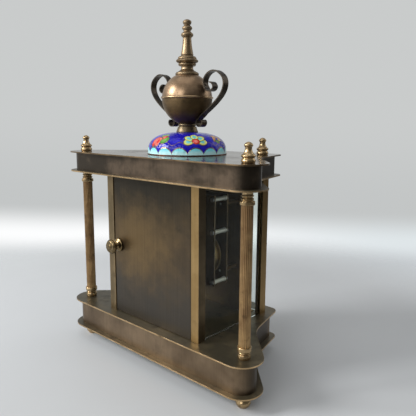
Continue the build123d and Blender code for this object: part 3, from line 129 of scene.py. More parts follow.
# ---- Node helpers -------------------------------------------------------------------------------
class Tree:
    """A small wrapper that adds and links nodes in a material, a world or a node group."""

    def __init__(self, nodes: bpy.types.NodeTree) -> None:
        """Keeps the node tree to write into."""
        self.tree = nodes

    def add(self, kind: str, inputs: Optional[dict] = None, **settings: object) -> bpy.types.Node:
        """Adds a node.

        Args:
            kind: the node's type name without its ShaderNode prefix.
            inputs: values or output sockets for its inputs, by name or index.
            settings: properties of the node.

        Returns:
            The new node.
        """
        node = self.tree.nodes.new("ShaderNode" + kind)
        for name, value in settings.items():
            setattr(node, name, value)
        for name, value in (inputs or {}).items():
            self.feed(node.inputs[name], value)
        return node

    def feed(self, socket: Socket, value: object) -> None:
        """Links an output socket to an input, or sets the input's value.

        Args:
            socket: the input.
            value: an output socket, a number, a vector or a colour without its alpha.
        """
        if isinstance(value, Socket):
            self.tree.links.new(value, socket)
        elif isinstance(value, tuple) and len(value) == 3 and socket.type == "RGBA":
            socket.default_value = (*value, 1.0)
        else:
            socket.default_value = value

    def effect(self, group: bpy.types.NodeTree, inputs: dict) -> bpy.types.bpy_prop_collection:
        """Places a shared node group with its own values and returns its outputs."""
        return self.add("Group", inputs, node_tree=group).outputs

    def math(self, operation: str, *values: object, clamp: bool = False) -> Socket:
        """Adds a Math node and returns its output."""
        return self.add("Math", dict(enumerate(values)), operation=operation, use_clamp=clamp).outputs[0]

    def plus(self, first: object, second: object, clamp: bool = False) -> Socket:
        """Adds two numbers."""
        return self.math("ADD", first, second, clamp=clamp)

    def minus(self, first: object, second: object) -> Socket:
        """Subtracts the second number from the first."""
        return self.math("SUBTRACT", first, second)

    def times(self, first: object, second: object) -> Socket:
        """Multiplies two numbers."""
        return self.math("MULTIPLY", first, second)

    def swing(self, value: object, amount: object) -> Socket:
        """How far a value is above or below a half, times an amount."""
        return self.times(self.minus(value, 0.5), amount)

    def vector(self, operation: str, *values: object) -> Socket:
        """Adds a Vector Math node and returns its vector output."""
        return self.add("VectorMath", dict(enumerate(values)), operation=operation).outputs["Vector"]

    def scaled(self, vector: object, factor: object) -> Socket:
        """Multiplies a vector or a colour by a number."""
        return self.add("VectorMath", {"Vector": vector, "Scale": factor}, operation="SCALE").outputs[0]

    def length(self, vector: object) -> Socket:
        """Measures a vector."""
        return self.add("VectorMath", {0: vector}, operation="LENGTH").outputs["Value"]

    def axes(self, vector: object) -> bpy.types.bpy_prop_collection:
        """Splits a vector into its outputs X, Y and Z."""
        return self.add("SeparateXYZ", {0: vector}).outputs

    def ramp(self, value: object, low: object, high: object, to_low: float = 0.0,
             to_high: float = 1.0) -> Socket:
        """Maps a number to a smooth step between two values.

        Args:
            value: the number.
            low: where the step begins.
            high: where it ends.
            to_low: the value before the step.
            to_high: the value after it.

        Returns:
            The value.
        """
        names = ("Value", "From Min", "From Max", "To Min", "To Max")
        return self.add("MapRange", dict(zip(names, (value, low, high, to_low, to_high))),
                        interpolation_type="SMOOTHSTEP").outputs["Result"]

    def mix(self, factor: object, first: object, second: object) -> Socket:
        """Mixes two colours."""
        return self.add("Mix", {0: factor, 6: first, 7: second}, data_type="RGBA").outputs[2]

    def noise(self, vector: object, scale: object, detail: float = 3.0, roughness: float = 0.55) -> Socket:
        """Adds a Noise Texture and returns its value, which is about 0.5 on average."""
        return self.add("TexNoise", {"Vector": vector, "Scale": scale, "Detail": detail,
                                     "Roughness": roughness}).outputs[0]


Wiring = Callable[[Tree, bpy.types.bpy_prop_collection], Sequence[Socket]]


class Effects:
    """The node groups that several finishes share, each built once."""

    _built: dict[str, bpy.types.NodeTree] = {}

    @classmethod
    def group(cls, name: str, inputs: dict[str, str], outputs: dict[str, str],
              wire: Wiring) -> bpy.types.NodeTree:
        """Builds a node group, or returns it if it is there.

        Args:
            name: the group's name.
            inputs: kind (Float, Color or Vector) of each input by name.
            outputs: the same for each output.
            wire: adds the nodes between, and returns a socket for each output.

        Returns:
            The node group.
        """
        if name not in cls._built:
            group = bpy.data.node_groups.new(name, "ShaderNodeTree")
            for way, sockets in (("INPUT", inputs), ("OUTPUT", outputs)):
                for label, kind in sockets.items():
                    group.interface.new_socket(label, in_out=way, socket_type="NodeSocket" + kind)
            tree, given = Tree(group), group.nodes.new("NodeGroupInput")
            for socket, value in zip(group.nodes.new("NodeGroupOutput").inputs, wire(tree, given.outputs)):
                tree.feed(socket, value)
            cls._built[name] = group
        return cls._built[name]

    @classmethod
    def patina(cls) -> bpy.types.NodeTree:
        """Cloudy brown and golden blotches of aged brass, with small dark specks.

        Returns:
            The node group.
        """

        def wire(tree: Tree, given: bpy.types.bpy_prop_collection) -> Sequence[Socket]:
            """Wires the group.

            Args:
                tree: the group's tree.
                given: the outputs of its input node.

            Returns:
                A socket for each output.
            """
            place, scale = given["Vector"], given["Scale"]
            bend = tree.add("TexNoise", {"Vector": place, "Scale": tree.times(scale, 1.7)})
            bent = tree.vector("ADD", place, tree.scaled(bend.outputs["Color"], 0.012))
            warm = tree.ramp(tree.noise(bent, scale, 4.0, 0.62), 0.40, 0.68)
            dark = tree.ramp(tree.noise(place, tree.times(scale, 2.3), 5.0, 0.6), 0.54, 0.74)
            speck = tree.ramp(tree.noise(place, 900.0, 2.0), 0.66, 0.74)
            colour = tree.mix(tree.times(warm, given["Warmth"]), given["Base"], given["Warm"])
            colour = tree.mix(tree.times(dark, given["Darkness"]), colour, given["Dark"])
            return tree.mix(tree.times(speck, 0.45), colour, given["Dark"]), dark

        return cls.group("Aged brass clouds", {
            "Vector": "Vector", "Scale": "Float", "Base": "Color", "Warm": "Color", "Dark": "Color",
            "Warmth": "Float", "Darkness": "Float"}, {"Color": "Color", "Mask": "Float"}, wire)

    @classmethod
    def brushing(cls) -> bpy.types.NodeTree:
        """Fine parallel lines from a brush, a file or a lathe tool.

        Returns:
            The node group.
        """

        def wire(tree: Tree, given: bpy.types.bpy_prop_collection) -> Sequence[Socket]:
            """Wires the group.

            Args:
                tree: the group's tree.
                given: the outputs of its input node.

            Returns:
                A socket for each output.
            """
            stretched = tree.vector("MULTIPLY", given["Vector"], given["Stretch"])
            fine = tree.noise(stretched, 1.0, 2.0, 0.5)
            broad = tree.noise(tree.vector("MULTIPLY", stretched, (0.22, 0.22, 0.22)), 1.0, 2.0, 0.5)
            line = tree.plus(tree.times(fine, 0.6), tree.times(broad, 0.4))
            return tree.plus(1.0, tree.swing(line, given["Amount"])), line

        return cls.group("Brush lines", {"Vector": "Vector", "Stretch": "Vector", "Amount": "Float"},
                         {"Tone": "Float", "Height": "Float"}, wire)

    @classmethod
    def smudges(cls) -> bpy.types.NodeTree:
        """Where hands and dust have dulled or polished a surface, as a roughness.

        Returns:
            The node group.
        """

        def wire(tree: Tree, given: bpy.types.bpy_prop_collection) -> Sequence[Socket]:
            """Wires the group.

            Args:
                tree: the group's tree.
                given: the outputs of its input node.

            Returns:
                A socket for each output.
            """
            cloud, fine = tree.noise(given["Vector"], 70.0, 3.0), tree.noise(given["Vector"], 420.0, 2.0)
            both = tree.plus(tree.times(cloud, 0.7), tree.times(fine, 0.3))
            return (tree.plus(given["Middle"], tree.swing(both, given["Spread"]), clamp=True),)

        return cls.group("Handling smudges", {"Vector": "Vector", "Middle": "Float", "Spread": "Float"},
                         {"Roughness": "Float"}, wire)

    @classmethod
    def cell(cls) -> bpy.types.NodeTree:
        """One oval enamel cell with a thin wire round it, in a flat pattern frame in millimetres.

        Returns:
            The node group.
        """

        def wire(tree: Tree, given: bpy.types.bpy_prop_collection) -> Sequence[Socket]:
            """Wires the group.

            Args:
                tree: the group's tree.
                given: the outputs of its input node.

            Returns:
                A socket for each output.
            """
            flat = tree.vector("MULTIPLY", given["Vector"], (1.0, 1.0, 0.0))
            moved = tree.vector("SUBTRACT", flat, given["Centre"])
            turned = tree.add("VectorRotate", {"Vector": moved, "Angle": given["Turn"]},
                              rotation_type="Z_AXIS", invert=True).outputs[0]
            reach = tree.length(tree.vector("DIVIDE", turned, given["Half size"]))
            near = tree.math("GREATER_THAN", tree.axes(given["Vector"])["Z"], -9.0)
            band = tree.math("DIVIDE", given["Wire"], tree.axes(given["Half size"])["Y"])
            outer = tree.ramp(reach, tree.plus(1.0, band), tree.plus(1.06, band), 1.0, 0.0)
            return tree.times(tree.ramp(reach, 0.98, 1.04, 1.0, 0.0), near), tree.times(outer, near), reach

        return cls.group("Enamel cell", {
            "Vector": "Vector", "Centre": "Vector", "Turn": "Float", "Half size": "Vector",
            "Wire": "Float"}, {"Fill": "Float", "Outline": "Float", "Reach": "Float"}, wire)


class Surface(Tree):
    """A new material: its tree, its Principled shader and its object coordinates."""

    def __init__(self, name: str) -> None:
        """Makes the material.

        Args:
            name: its name.
        """
        self.material = bpy.data.materials.new(name)
        self.material.use_nodes = True
        super().__init__(self.material.node_tree)
        self.place = self.add("TexCoord").outputs["Object"]

    def paint(self, inputs: dict) -> bpy.types.Material:
        """Feeds the shader.

        Args:
            inputs: values or output sockets for its inputs, by name.

        Returns:
            The material.
        """
        for name, value in inputs.items():
            self.feed(self.tree.nodes["Principled BSDF"].inputs[name], value)
        return self.material

    def raised(self, height: object, strength: float, distance: float) -> Socket:
        """A normal that follows a height, for the shader's Normal."""
        return self.add("Bump", {"Strength": strength, "Distance": distance, "Height": height}).outputs[0]

    def lines(self, grain: Grain, amount: float) -> bpy.types.bpy_prop_collection:
        """Brush lines: the outputs Tone and Height."""
        return self.effect(Effects.brushing(), {
            "Vector": self.place, "Stretch": grain.value, "Amount": amount})

    def worn(self, middle: float, spread: float) -> Socket:
        """A roughness that wanders about a middle."""
        return self.effect(Effects.smudges(), {
            "Vector": self.place, "Middle": middle, "Spread": spread})["Roughness"]


# ---- Finishes -----------------------------------------------------------------------------------
@dataclass(frozen=True)
class Brass:
    """An aged brass finish with clouds, brush lines and handling marks."""

    name: str
    base: Colour
    warm: Colour
    dark: Colour
    roughness: float = 0.36
    spread: float = 0.25
    cloud_scale: float = 60.0
    warmth: float = 0.8
    darkness: float = 0.5
    grain: Grain = Grain.UPRIGHT
    grain_amount: float = 0.5
    grain_depth: float = 0.06
    grain_height: float = 0.0004
    dark_roughness: float = 0.10
    metallic: float = 1.0

    def colour(self, surface: Surface) -> tuple[Socket, Socket]:
        """The patina's colour and the mask of its dark clouds.

        Args:
            surface: the material.

        Returns:
            The colour and the mask.
        """
        patina = surface.effect(Effects.patina(), {
            "Vector": surface.place, "Scale": self.cloud_scale, "Base": self.base, "Warm": self.warm,
            "Dark": self.dark, "Warmth": self.warmth, "Darkness": self.darkness})
        return patina["Color"], patina["Mask"]

    def build(self) -> bpy.types.Material:
        """Builds the material and returns it."""
        surface = Surface(self.name)
        colour, dark = self.colour(surface)
        lines = surface.lines(self.grain, self.grain_amount)
        worn = surface.worn(self.roughness, self.spread)
        return surface.paint({
            "Base Color": surface.scaled(colour, lines["Tone"]),
            "Roughness": surface.plus(worn, surface.times(dark, self.dark_roughness), clamp=True),
            "Metallic": self.metallic,
            "Normal": surface.raised(lines["Height"], self.grain_depth, self.grain_height)})


@dataclass(frozen=True)
class TurnedBrass(Brass):
    """Brass with the lines of a lathe tool round its axis."""

    grain: Grain = Grain.TURNED
    grain_amount: float = 0.3


@dataclass(frozen=True)
class DoorBrass(Brass):
    """The door's sheet: olive brown above, a warm painted highlight patch beside the knob, greyer below."""

    low: Colour = (0.066, 0.060, 0.052)
    # colour of the painted highlight patch beside the knob
    lit_patch: Colour = (0.185, 0.122, 0.056)
    top_z: float = 0.187
    foot_z: float = 0.044
    lit_patch_at: tuple[float, float, float] = (0.022, 0.0515, 0.122)
    lit_patch_size: tuple[float, float, float] = (0.040, 0.02, 0.034)
    low_span: Pair = (0.12, 0.55)
    top_from: float = 0.60
    wander: float = 0.09
    raggedness: float = 1.6

    def colour(self, surface: Surface) -> tuple[Socket, Socket]:
        """The patina's colour with the painted highlight patch beside the knob, and the mask of its dark
        clouds.

        Args:
            surface: the material.

        Returns:
            The colour and the mask.
        """
        colour, dark = super().colour(surface)
        place, reach = surface.place, self.top_z - self.foot_z
        wander = surface.swing(surface.noise(place, 28.0, 4.0), self.wander)
        level = surface.plus(surface.axes(place)["Z"], wander)
        lower = surface.ramp(level, *(self.foot_z + share * reach for share in self.low_span), 1.0, 0.0)
        upper = surface.ramp(level, self.foot_z + self.top_from * reach, self.top_z)
        colour = surface.mix(surface.times(lower, 0.85), colour, self.low)
        colour = surface.mix(surface.times(upper, 0.92), colour, self.dark)
        # painted highlight: a warm lit patch with ragged edges beside the knob
        near = surface.vector("DIVIDE", surface.vector("SUBTRACT", place, self.lit_patch_at), self.lit_patch_size)
        frayed = surface.swing(surface.noise(place, 60.0, 5.0, 0.65), self.raggedness)
        ragged = surface.plus(surface.length(near), frayed)
        patch = surface.ramp(ragged, 0.05, 1.75, 1.0, 0.0)
        return surface.mix(surface.times(patch, 0.90), colour, self.lit_patch), dark


@dataclass(frozen=True)
class BandBrass(Brass):
    """A band whose waisted ends, between its long faces, are darkened with painted shade."""

    # colour of the painted shade on the waisted ends
    end_shade: Colour = (0.040, 0.033, 0.024)
    long_face_y: float = 0.0585
    turn: float = 0.012
    amount: float = 0.8

    def colour(self, surface: Surface) -> tuple[Socket, Socket]:
        """The patina's colour with painted shade on the waisted ends, and the mask of its dark clouds.

        Args:
            surface: the material.

        Returns:
            The colour and the mask.
        """
        colour, dark = super().colour(surface)
        depth = surface.axes(surface.place)["Y"]
        before = surface.ramp(depth, self.long_face_y - self.turn, self.long_face_y, self.amount, 0.0)
        behind = surface.ramp(depth, -self.long_face_y, self.turn - self.long_face_y)
        # painted shade: darkens the band between its long faces, on the waisted ends
        return surface.mix(surface.times(before, behind), colour, self.end_shade), dark


@dataclass(frozen=True)
class ClearGlass:
    """Flat window glass with a faint green body and a trace of dust."""

    name: str = "clear_glass"
    tint: Colour = (0.93, 0.97, 0.95)
    ior: float = 1.17
    shade: float = 0.12

    def build(self) -> bpy.types.Material:
        """Builds the material and returns it."""
        surface = Surface(self.name)
        shadow = surface.add("LightPath").outputs["Is Shadow Ray"]
        return surface.paint({
            "Base Color": self.tint, "Transmission Weight": 1.0, "IOR": self.ior,
            "Roughness": surface.ramp(surface.noise(surface.place, 160.0, 4.0, 0.7), 0.50, 0.80, 0.01, 0.07),
            "Alpha": surface.ramp(shadow, 0.0, 1.0, 1.0, self.shade)})


@dataclass(frozen=True)
class PlainSteel:
    """Bare or blued steel with fine polishing lines."""

    name: str
    colour: Colour
    roughness: float = 0.3

    def build(self) -> bpy.types.Material:
        """Builds the material and returns it."""
        surface = Surface(self.name)
        lines = surface.lines(Grain.UPRIGHT, 0.5)
        return surface.paint({
            "Base Color": surface.scaled(self.colour, lines["Tone"]), "Metallic": 1.0,
            "Roughness": surface.worn(self.roughness, 0.3),
            "Normal": surface.raised(lines["Height"], 0.05, 0.0003)})


@dataclass(frozen=True)
class DialEnamel:
    """Ivory dial enamel with fine craze lines and slightly darker clouds."""

    name: str = "ivory_dial"
    ivory: Colour = (0.78, 0.74, 0.62)
    aged: Colour = (0.62, 0.55, 0.40)
    crazed: Colour = (0.25, 0.20, 0.13)

    def build(self) -> bpy.types.Material:
        """Builds the material and returns it."""
        surface = Surface(self.name)
        cloud = surface.ramp(surface.noise(surface.place, 45.0, 4.0, 0.6), 0.42, 0.72)
        cracks = surface.add("TexVoronoi", {"Vector": surface.place, "Scale": 160.0},
                             feature="DISTANCE_TO_EDGE")
        line = surface.ramp(cracks.outputs["Distance"], 0.0, 0.035, 1.0, 0.0)
        colour = surface.mix(surface.times(cloud, 0.5), self.ivory, self.aged)
        return surface.paint({
            "Base Color": surface.mix(surface.times(line, 0.18), colour, self.crazed),
            "Roughness": surface.ramp(cloud, 0.0, 1.0, 0.22, 0.38),
            "Normal": surface.raised(cloud, 0.08, 0.0002)})


@dataclass(frozen=True)
class Paint:
    """Black dial printing, a little uneven."""

    name: str = "dial_black"
    black: Colour = (0.015, 0.014, 0.013)
    thin: Colour = (0.07, 0.06, 0.05)

    def build(self) -> bpy.types.Material:
        """Builds the material and returns it."""
        surface = Surface(self.name)
        thin = surface.ramp(surface.noise(surface.place, 700.0, 3.0), 0.55, 0.80)
        return surface.paint({"Base Color": surface.mix(thin, self.black, self.thin),
                              "Roughness": surface.ramp(thin, 0.0, 1.0, 0.35, 0.6)})


@dataclass(frozen=True)
class Petal:
    """One oval cell of an enamel motif, in millimetres round the motif's middle."""

    centre: Pair
    half_size: Pair
    turn: float
    colour: Colour
    heart: Colour


class Motif(Enum):
    """The three traditional ornaments round the dome: direction in degrees, and height in millimetres."""

    BUD = (82.0, 13.6)
    BLOSSOM = (147.2, 13.2)
    SCROLL = (194.0, 14.3)

    def petals(self) -> list[Petal]:
        """The cells of the motif.

        Returns:
            The cells, in the order in which they lie over each other.
        """
        yellow, sky = (0.74, 0.78, 0.20), (0.16, 0.62, 0.66)
        red, pink = (0.66, 0.025, 0.02), (0.82, 0.20, 0.16)
        green, leaf = (0.09, 0.30, 0.05), (0.20, 0.42, 0.10)
        tan, orange = (0.72, 0.42, 0.18), (0.80, 0.26, 0.05)
        if self is Motif.BLOSSOM:
            turns = [math.radians(angle) for angle in (188, -8, 142, 38, 90)]
            ring = [Petal((6.5 * math.cos(turn), 5.8 * math.sin(turn)), (4.4, 3.4), turn, yellow, sky)
                    for turn in turns]
            return ring + [Petal((0.4, -0.8), (3.5, 3.0), 0.0, red, pink)]
        if self is Motif.BUD:
            return [Petal((7.6, 0.8), (4.8, 4.4), 0.4, green, leaf),
                    Petal((2.0, 7.4), (4.0, 2.6), 0.2, leaf, green),
                    Petal((4.4, 3.8), (3.6, 2.4), 0.7, red, pink),
                    Petal((-3.2, -1.6), (5.6, 3.8), 1.35, red, pink),
                    Petal((1.0, -1.8), (5.0, 3.0), 1.50, pink, red)]
        return [Petal((-3.6, 1.6), (4.8, 1.5), 0.75, tan, orange),
                Petal((1.2, 3.9), (4.6, 1.4), -0.30, orange, tan),
                Petal((5.0, 0.6), (3.4, 1.3), -1.15, tan, orange),
                Petal((2.0, -1.4), (1.9, 1.5), 0.2, yellow, tan),
                Petal((-3.2, -3.2), (2.6, 1.6), -0.5, green, leaf)]


@dataclass(frozen=True)
class DomeEnamel:
    """Cobalt enamel in thin brass wires: scallops along the rim, blossoms, buds and scrolls above."""

    middle: Vector
    dome_r: float
    dome_h: float
    power: float
    name: str = "cobalt_enamel"
    cobalt: Colour = (0.020, 0.015, 0.56)
    deep: Colour = (0.010, 0.008, 0.34)
    # the scallops' colour by the rim, partly a painted reflection
    pale: Colour = (0.60, 0.97, 1.0)
    turquoise: Colour = (0.10, 0.74, 0.90)
    brass: Colour = (0.34, 0.21, 0.10)
    ior: float = 1.38
    scallops: int = 16
    scallop_h: float = 6.6
    arch_w: float = 1.96
    arch_power: float = 0.62
    wave_h: float = 10.2
    wave_depth: float = 1.5
    wire: float = 0.38

    def motif_frame(self, surface: Surface, angle: float, height: float) -> Socket:
        """Pattern coordinates round one point of the dome, in millimetres.

        Args:
            surface: the material.
            angle: direction of the point from the dome's axis, in degrees.
            height: its height above the dome's lower edge, in millimetres.

        Returns:
            The coordinates: across, up the dome, and out of it.
        """
        share = height / self.dome_h
        radius = self.dome_r * (1 - share ** self.power) ** (1 / self.power)
        tilt = math.atan2(share ** (self.power - 1) / self.dome_h,
                          (radius / self.dome_r) ** (self.power - 1) / self.dome_r)
        turn = math.radians(angle)
        out = Vector((math.cos(turn) * math.cos(tilt), math.sin(turn) * math.cos(tilt), math.sin(tilt)))
        across = Vector((-math.sin(turn), math.cos(turn), 0.0))
        spot = self.middle + MM * Vector((radius * math.cos(turn), radius * math.sin(turn), height))
        spin = Matrix((across, out.cross(across), out)).transposed().to_euler()
        return surface.add("Mapping", {
            "Vector": surface.place, "Location": tuple(spot), "Rotation": tuple(spin), "Scale": (MM, MM, MM)},
            vector_type="TEXTURE").outputs[0]

    def scalloped(self, surface: Surface) -> tuple[Socket, Socket, Socket]:
        """Scallops along the rim and the wavy wire above them.

        Args:
            surface: the material.

        Returns:
            The scallop mask, the wire mask, and the height above the rim in millimetres.
        """
        axes = surface.axes(surface.vector("SUBTRACT", surface.place, tuple(self.middle)))
        angle = surface.math("ARCTAN2", axes["Y"], axes["X"])
        height = surface.math("DIVIDE", axes["Z"], MM)
        turns = surface.times(angle, self.scallops / (2 * math.pi))
        across = surface.minus(surface.math("FRACT", surface.plus(turns, 8.0)), 0.5)
        side = surface.times(across, self.arch_w)
        arch = surface.math("POWER", surface.minus(1.0, surface.times(side, side)), self.arch_power)
        above = surface.minus(height, surface.times(arch, self.scallop_h))
        wire = surface.ramp(surface.math("ABSOLUTE", above), self.wire, 1.35 * self.wire, 1.0, 0.0)
        wave = surface.times(surface.math("COSINE", surface.times(angle, self.scallops)), -self.wave_depth)
        second = surface.math("ABSOLUTE", surface.minus(height, surface.plus(wave, self.wave_h)))
        wavy = surface.times(surface.ramp(second, 0.6 * self.wire, self.wire, 1.0, 0.0), 0.7)
        return surface.ramp(above, -0.08, 0.08, 1.0, 0.0), surface.math("MAXIMUM", wire, wavy), height

    def build(self) -> bpy.types.Material:
        """Builds the material and returns it."""
        surface = Surface(self.name)
        cloud = surface.noise(surface.place, 130.0, 4.0, 0.6)
        colour = surface.mix(surface.ramp(cloud, 0.35, 0.70), self.deep, self.cobalt)
        scallop, wire, level = self.scalloped(surface)
        # scallops pale towards the rim, turquoise above: partly the enamel's own shading, partly a painted
        # reflection along the rim
        tint = surface.ramp(surface.plus(level, surface.times(cloud, 3.0)), 2.2, 8.5)
        colour = surface.mix(scallop, colour, surface.mix(tint, self.pale, self.turquoise))
        for half_turn, motif in product((0.0, 180.0), Motif):
            angle, height = motif.value
            frame = self.motif_frame(surface, angle + half_turn, height)
            for petal in motif.petals():
                cell = surface.effect(Effects.cell(), {
                    "Vector": frame, "Centre": (*petal.centre, 0.0), "Turn": petal.turn,
                    "Half size": (*petal.half_size, 1.0), "Wire": self.wire})
                shade = surface.mix(surface.ramp(cell["Reach"], 0.35, 0.8), petal.heart, petal.colour)
                wire = surface.math("MAXIMUM", surface.times(wire, surface.minus(1.0, cell["Fill"])),
                                    surface.minus(cell["Outline"], cell["Fill"]))
                colour = surface.mix(cell["Fill"], colour, shade)
        dusty = surface.mix(surface.times(surface.ramp(cloud, 0.5, 0.8), 0.25), self.brass, self.deep)
        pooled = surface.plus(surface.times(wire, 0.7), surface.noise(surface.place, 300.0, 2.0))
        return surface.paint({
            "IOR": self.ior, "Base Color": surface.mix(wire, colour, dusty),
            "Metallic": surface.times(wire, 0.9),
            "Roughness": surface.plus(surface.worn(0.06, 0.06), surface.times(wire, 0.22)),
            "Normal": surface.raised(pooled, 0.8, 0.0008)})


class Finishes:
    """Every finish of the clock, built once and handed out by name: base, warm and dark colour first."""

    def __init__(self) -> None:
        """Describes and builds the finishes."""
        self.frieze_band = Brass(
            "frieze_bronze", (0.052, 0.040, 0.028), (0.185, 0.133, 0.092), (0.028, 0.021, 0.017),
            roughness=0.33, cloud_scale=24.0, warmth=0.85, darkness=0.55, metallic=0.85).build()
        # the base band, with painted shade on its waisted ends
        self.base_band = BandBrass(
            "base_bronze", (0.138, 0.096, 0.059), (0.29, 0.207, 0.130), (0.060, 0.043, 0.028),
            roughness=0.34, cloud_scale=15.0, metallic=0.9).build()
        self.plate = Brass(
            "plate_polished", (0.145, 0.118, 0.088), (0.22, 0.175, 0.125), (0.06, 0.048, 0.035),
            roughness=0.17, spread=0.14, cloud_scale=18.0, darkness=0.45, grain=Grain.ALONG_X,
            grain_amount=0.25, grain_depth=0.03, metallic=0.9).build()
        # the plates below the top plate: darker and greener, partly their own tarnish, partly painted shade
        self.base_plate = Brass(
            "plate_patina_and_shade", (0.092, 0.079, 0.050), (0.18, 0.142, 0.082), (0.040, 0.036, 0.026),
            roughness=0.38, spread=0.22, cloud_scale=26.0, darkness=0.75, grain=Grain.ALONG_X,
            grain_amount=0.4, metallic=0.65).build()
        # painted highlight: the lower plates' rounded edges are lightened to stand for the light they catch
        self.edge = Brass(
            "plate_edge", (0.47, 0.325, 0.170), (0.72, 0.51, 0.285), (0.140, 0.094, 0.050),
            roughness=0.30, cloud_scale=42.0, darkness=0.8, grain=Grain.SHEET, grain_amount=0.3).build()
        # painted shade: a darker copy of the edge finish for the top plate's rounded edges
        self.edge_shaded = Brass(
            "plate_edge_shaded", (0.190, 0.130, 0.075), (0.36, 0.25, 0.14), (0.080, 0.055, 0.032),
            roughness=0.34, cloud_scale=42.0, darkness=0.7, grain=Grain.SHEET, grain_amount=0.3).build()
        # lit and shaded copies of one post brass: this lighter lit copy is for the faces where light falls
        self.post = Brass(
            "post_lit", (0.335, 0.218, 0.092), (0.42, 0.28, 0.125), (0.16, 0.105, 0.050),
            cloud_scale=36.0, darkness=0.4, grain_amount=0.7).build()
        # painted shade: a darker copy for the faces of the other posts
        self.post_shaded = Brass(
            "post_shaded", (0.185, 0.138, 0.078), (0.26, 0.19, 0.105), (0.085, 0.064, 0.038),
            roughness=0.38, cloud_scale=36.0, grain_amount=0.8).build()
        # painted shade: the darkest copy, for the rear posts' sides
        self.post_side_shaded = Brass(
            "post_side_shaded", (0.115, 0.088, 0.052), (0.18, 0.135, 0.080), (0.055, 0.044, 0.028),
            roughness=0.38, cloud_scale=36.0, grain_amount=0.8).build()
        self.post_edge = Brass(
            "post_edge", (0.50, 0.34, 0.17), (0.62, 0.44, 0.24), (0.24, 0.16, 0.08),
            roughness=0.30, darkness=0.4, grain_amount=0.3).build()
        self.shaft = Brass(
            "column_shaft", (0.28, 0.170, 0.080), (0.46, 0.30, 0.14), (0.10, 0.06, 0.03),
            roughness=0.42, cloud_scale=50.0, warmth=0.95, darkness=0.7, grain_amount=0.9,
            grain_depth=0.12, metallic=0.8).build()
        self.turned = TurnedBrass(
            "turned_polished", (0.40, 0.280, 0.145), (0.58, 0.42, 0.23), (0.11, 0.076, 0.040),
            roughness=0.26, spread=0.15, cloud_scale=70.0, darkness=0.7, metallic=0.88).build()
        self.door = DoorBrass(
            "door_mottled", (0.082, 0.061, 0.040), (0.135, 0.092, 0.048), (0.034, 0.030, 0.023),
            cloud_scale=22.0, warmth=0.9, grain_amount=0.6, grain_depth=0.08, metallic=0.9).build()
        self.door_edge = Brass(
            "door_edge", (0.20, 0.145, 0.078), (0.30, 0.215, 0.12), (0.09, 0.066, 0.038),
            cloud_scale=50.0).build()
        # painted highlight: the cover's brass is lightened, a lit copy of the urn's brass
        self.urn = TurnedBrass(
            "urn_cover_lit", (0.265, 0.175, 0.106), (0.50, 0.345, 0.215), (0.090, 0.060, 0.038),
            roughness=0.34, spread=0.12, cloud_scale=48.0, warmth=0.7, grain_amount=0.35,
            metallic=0.9).build()
        # painted shade: the lower bowl's brass is darkened, a shaded copy of the urn's brass
        self.bowl = TurnedBrass(
            "urn_bowl_shaded", (0.108, 0.070, 0.032), (0.21, 0.136, 0.064), (0.040, 0.026, 0.012),
            roughness=0.45, spread=0.2, cloud_scale=48.0, warmth=0.7, darkness=0.6, grain_amount=0.35,
            metallic=0.75).build()
        self.belt = TurnedBrass(
            "urn_belt", (0.40, 0.275, 0.155), (0.56, 0.40, 0.24), (0.16, 0.105, 0.06),
            roughness=0.30, darkness=0.4, grain_amount=0.2).build()
        self.spire = TurnedBrass(
            "urn_spire", (0.22, 0.158, 0.092), (0.37, 0.265, 0.155), (0.068, 0.048, 0.029),
            roughness=0.41, cloud_scale=65.0, darkness=0.7, metallic=0.9).build()
        self.foot = TurnedBrass(
            "urn_foot", (0.145, 0.110, 0.064), (0.24, 0.18, 0.10), (0.06, 0.045, 0.027),
            roughness=0.42, metallic=0.85).build()
        self.knob = TurnedBrass(
            "door_knob", (0.17, 0.122, 0.060), (0.32, 0.235, 0.120), (0.060, 0.044, 0.025),
            roughness=0.26, spread=0.15, cloud_scale=90.0, darkness=0.6, grain_amount=0.2,
            metallic=0.95).build()
        self.handle = Brass(
            "handle_dark", (0.050, 0.040, 0.030), (0.13, 0.098, 0.064), (0.015, 0.013, 0.011),
            roughness=0.34, warmth=0.5, grain=Grain.SHEET, metallic=0.8).build()
        self.rim = TurnedBrass(
            "rim_copper", (0.12, 0.045, 0.028), (0.26, 0.11, 0.06), (0.03, 0.014, 0.01),
            roughness=0.32, cloud_scale=90.0, darkness=0.6, grain_amount=0.5).build()
        # painted shade: a dark copy of the mask's brass for its back, inside the case
        self.mask_back_shaded = Brass(
            "mask_back_shaded", (0.130, 0.094, 0.055), (0.18, 0.125, 0.065), (0.065, 0.050, 0.034),
            roughness=0.42, cloud_scale=40.0, grain_amount=0.4, metallic=0.8).build()
        self.mask = Brass(
            "mask_matted", (0.24, 0.168, 0.082), (0.34, 0.245, 0.125), (0.10, 0.07, 0.038),
            roughness=0.42, cloud_scale=40.0, grain_amount=0.4, grain_depth=0.15).build()
        self.movement = Brass(
            "movement_brushed", (0.25, 0.180, 0.085), (0.36, 0.265, 0.13), (0.12, 0.085, 0.042),
            cloud_scale=50.0, darkness=0.3, grain_amount=0.4).build()
        # painted shade: the movement's plates are a dark copy of its brass, for the dark inside of the case
        self.movement_plate_shaded = Brass(
            "movement_plate_shaded", (0.085, 0.062, 0.034), (0.15, 0.10, 0.05), (0.040, 0.030, 0.018),
            roughness=0.42, cloud_scale=38.0, metallic=0.8).build()
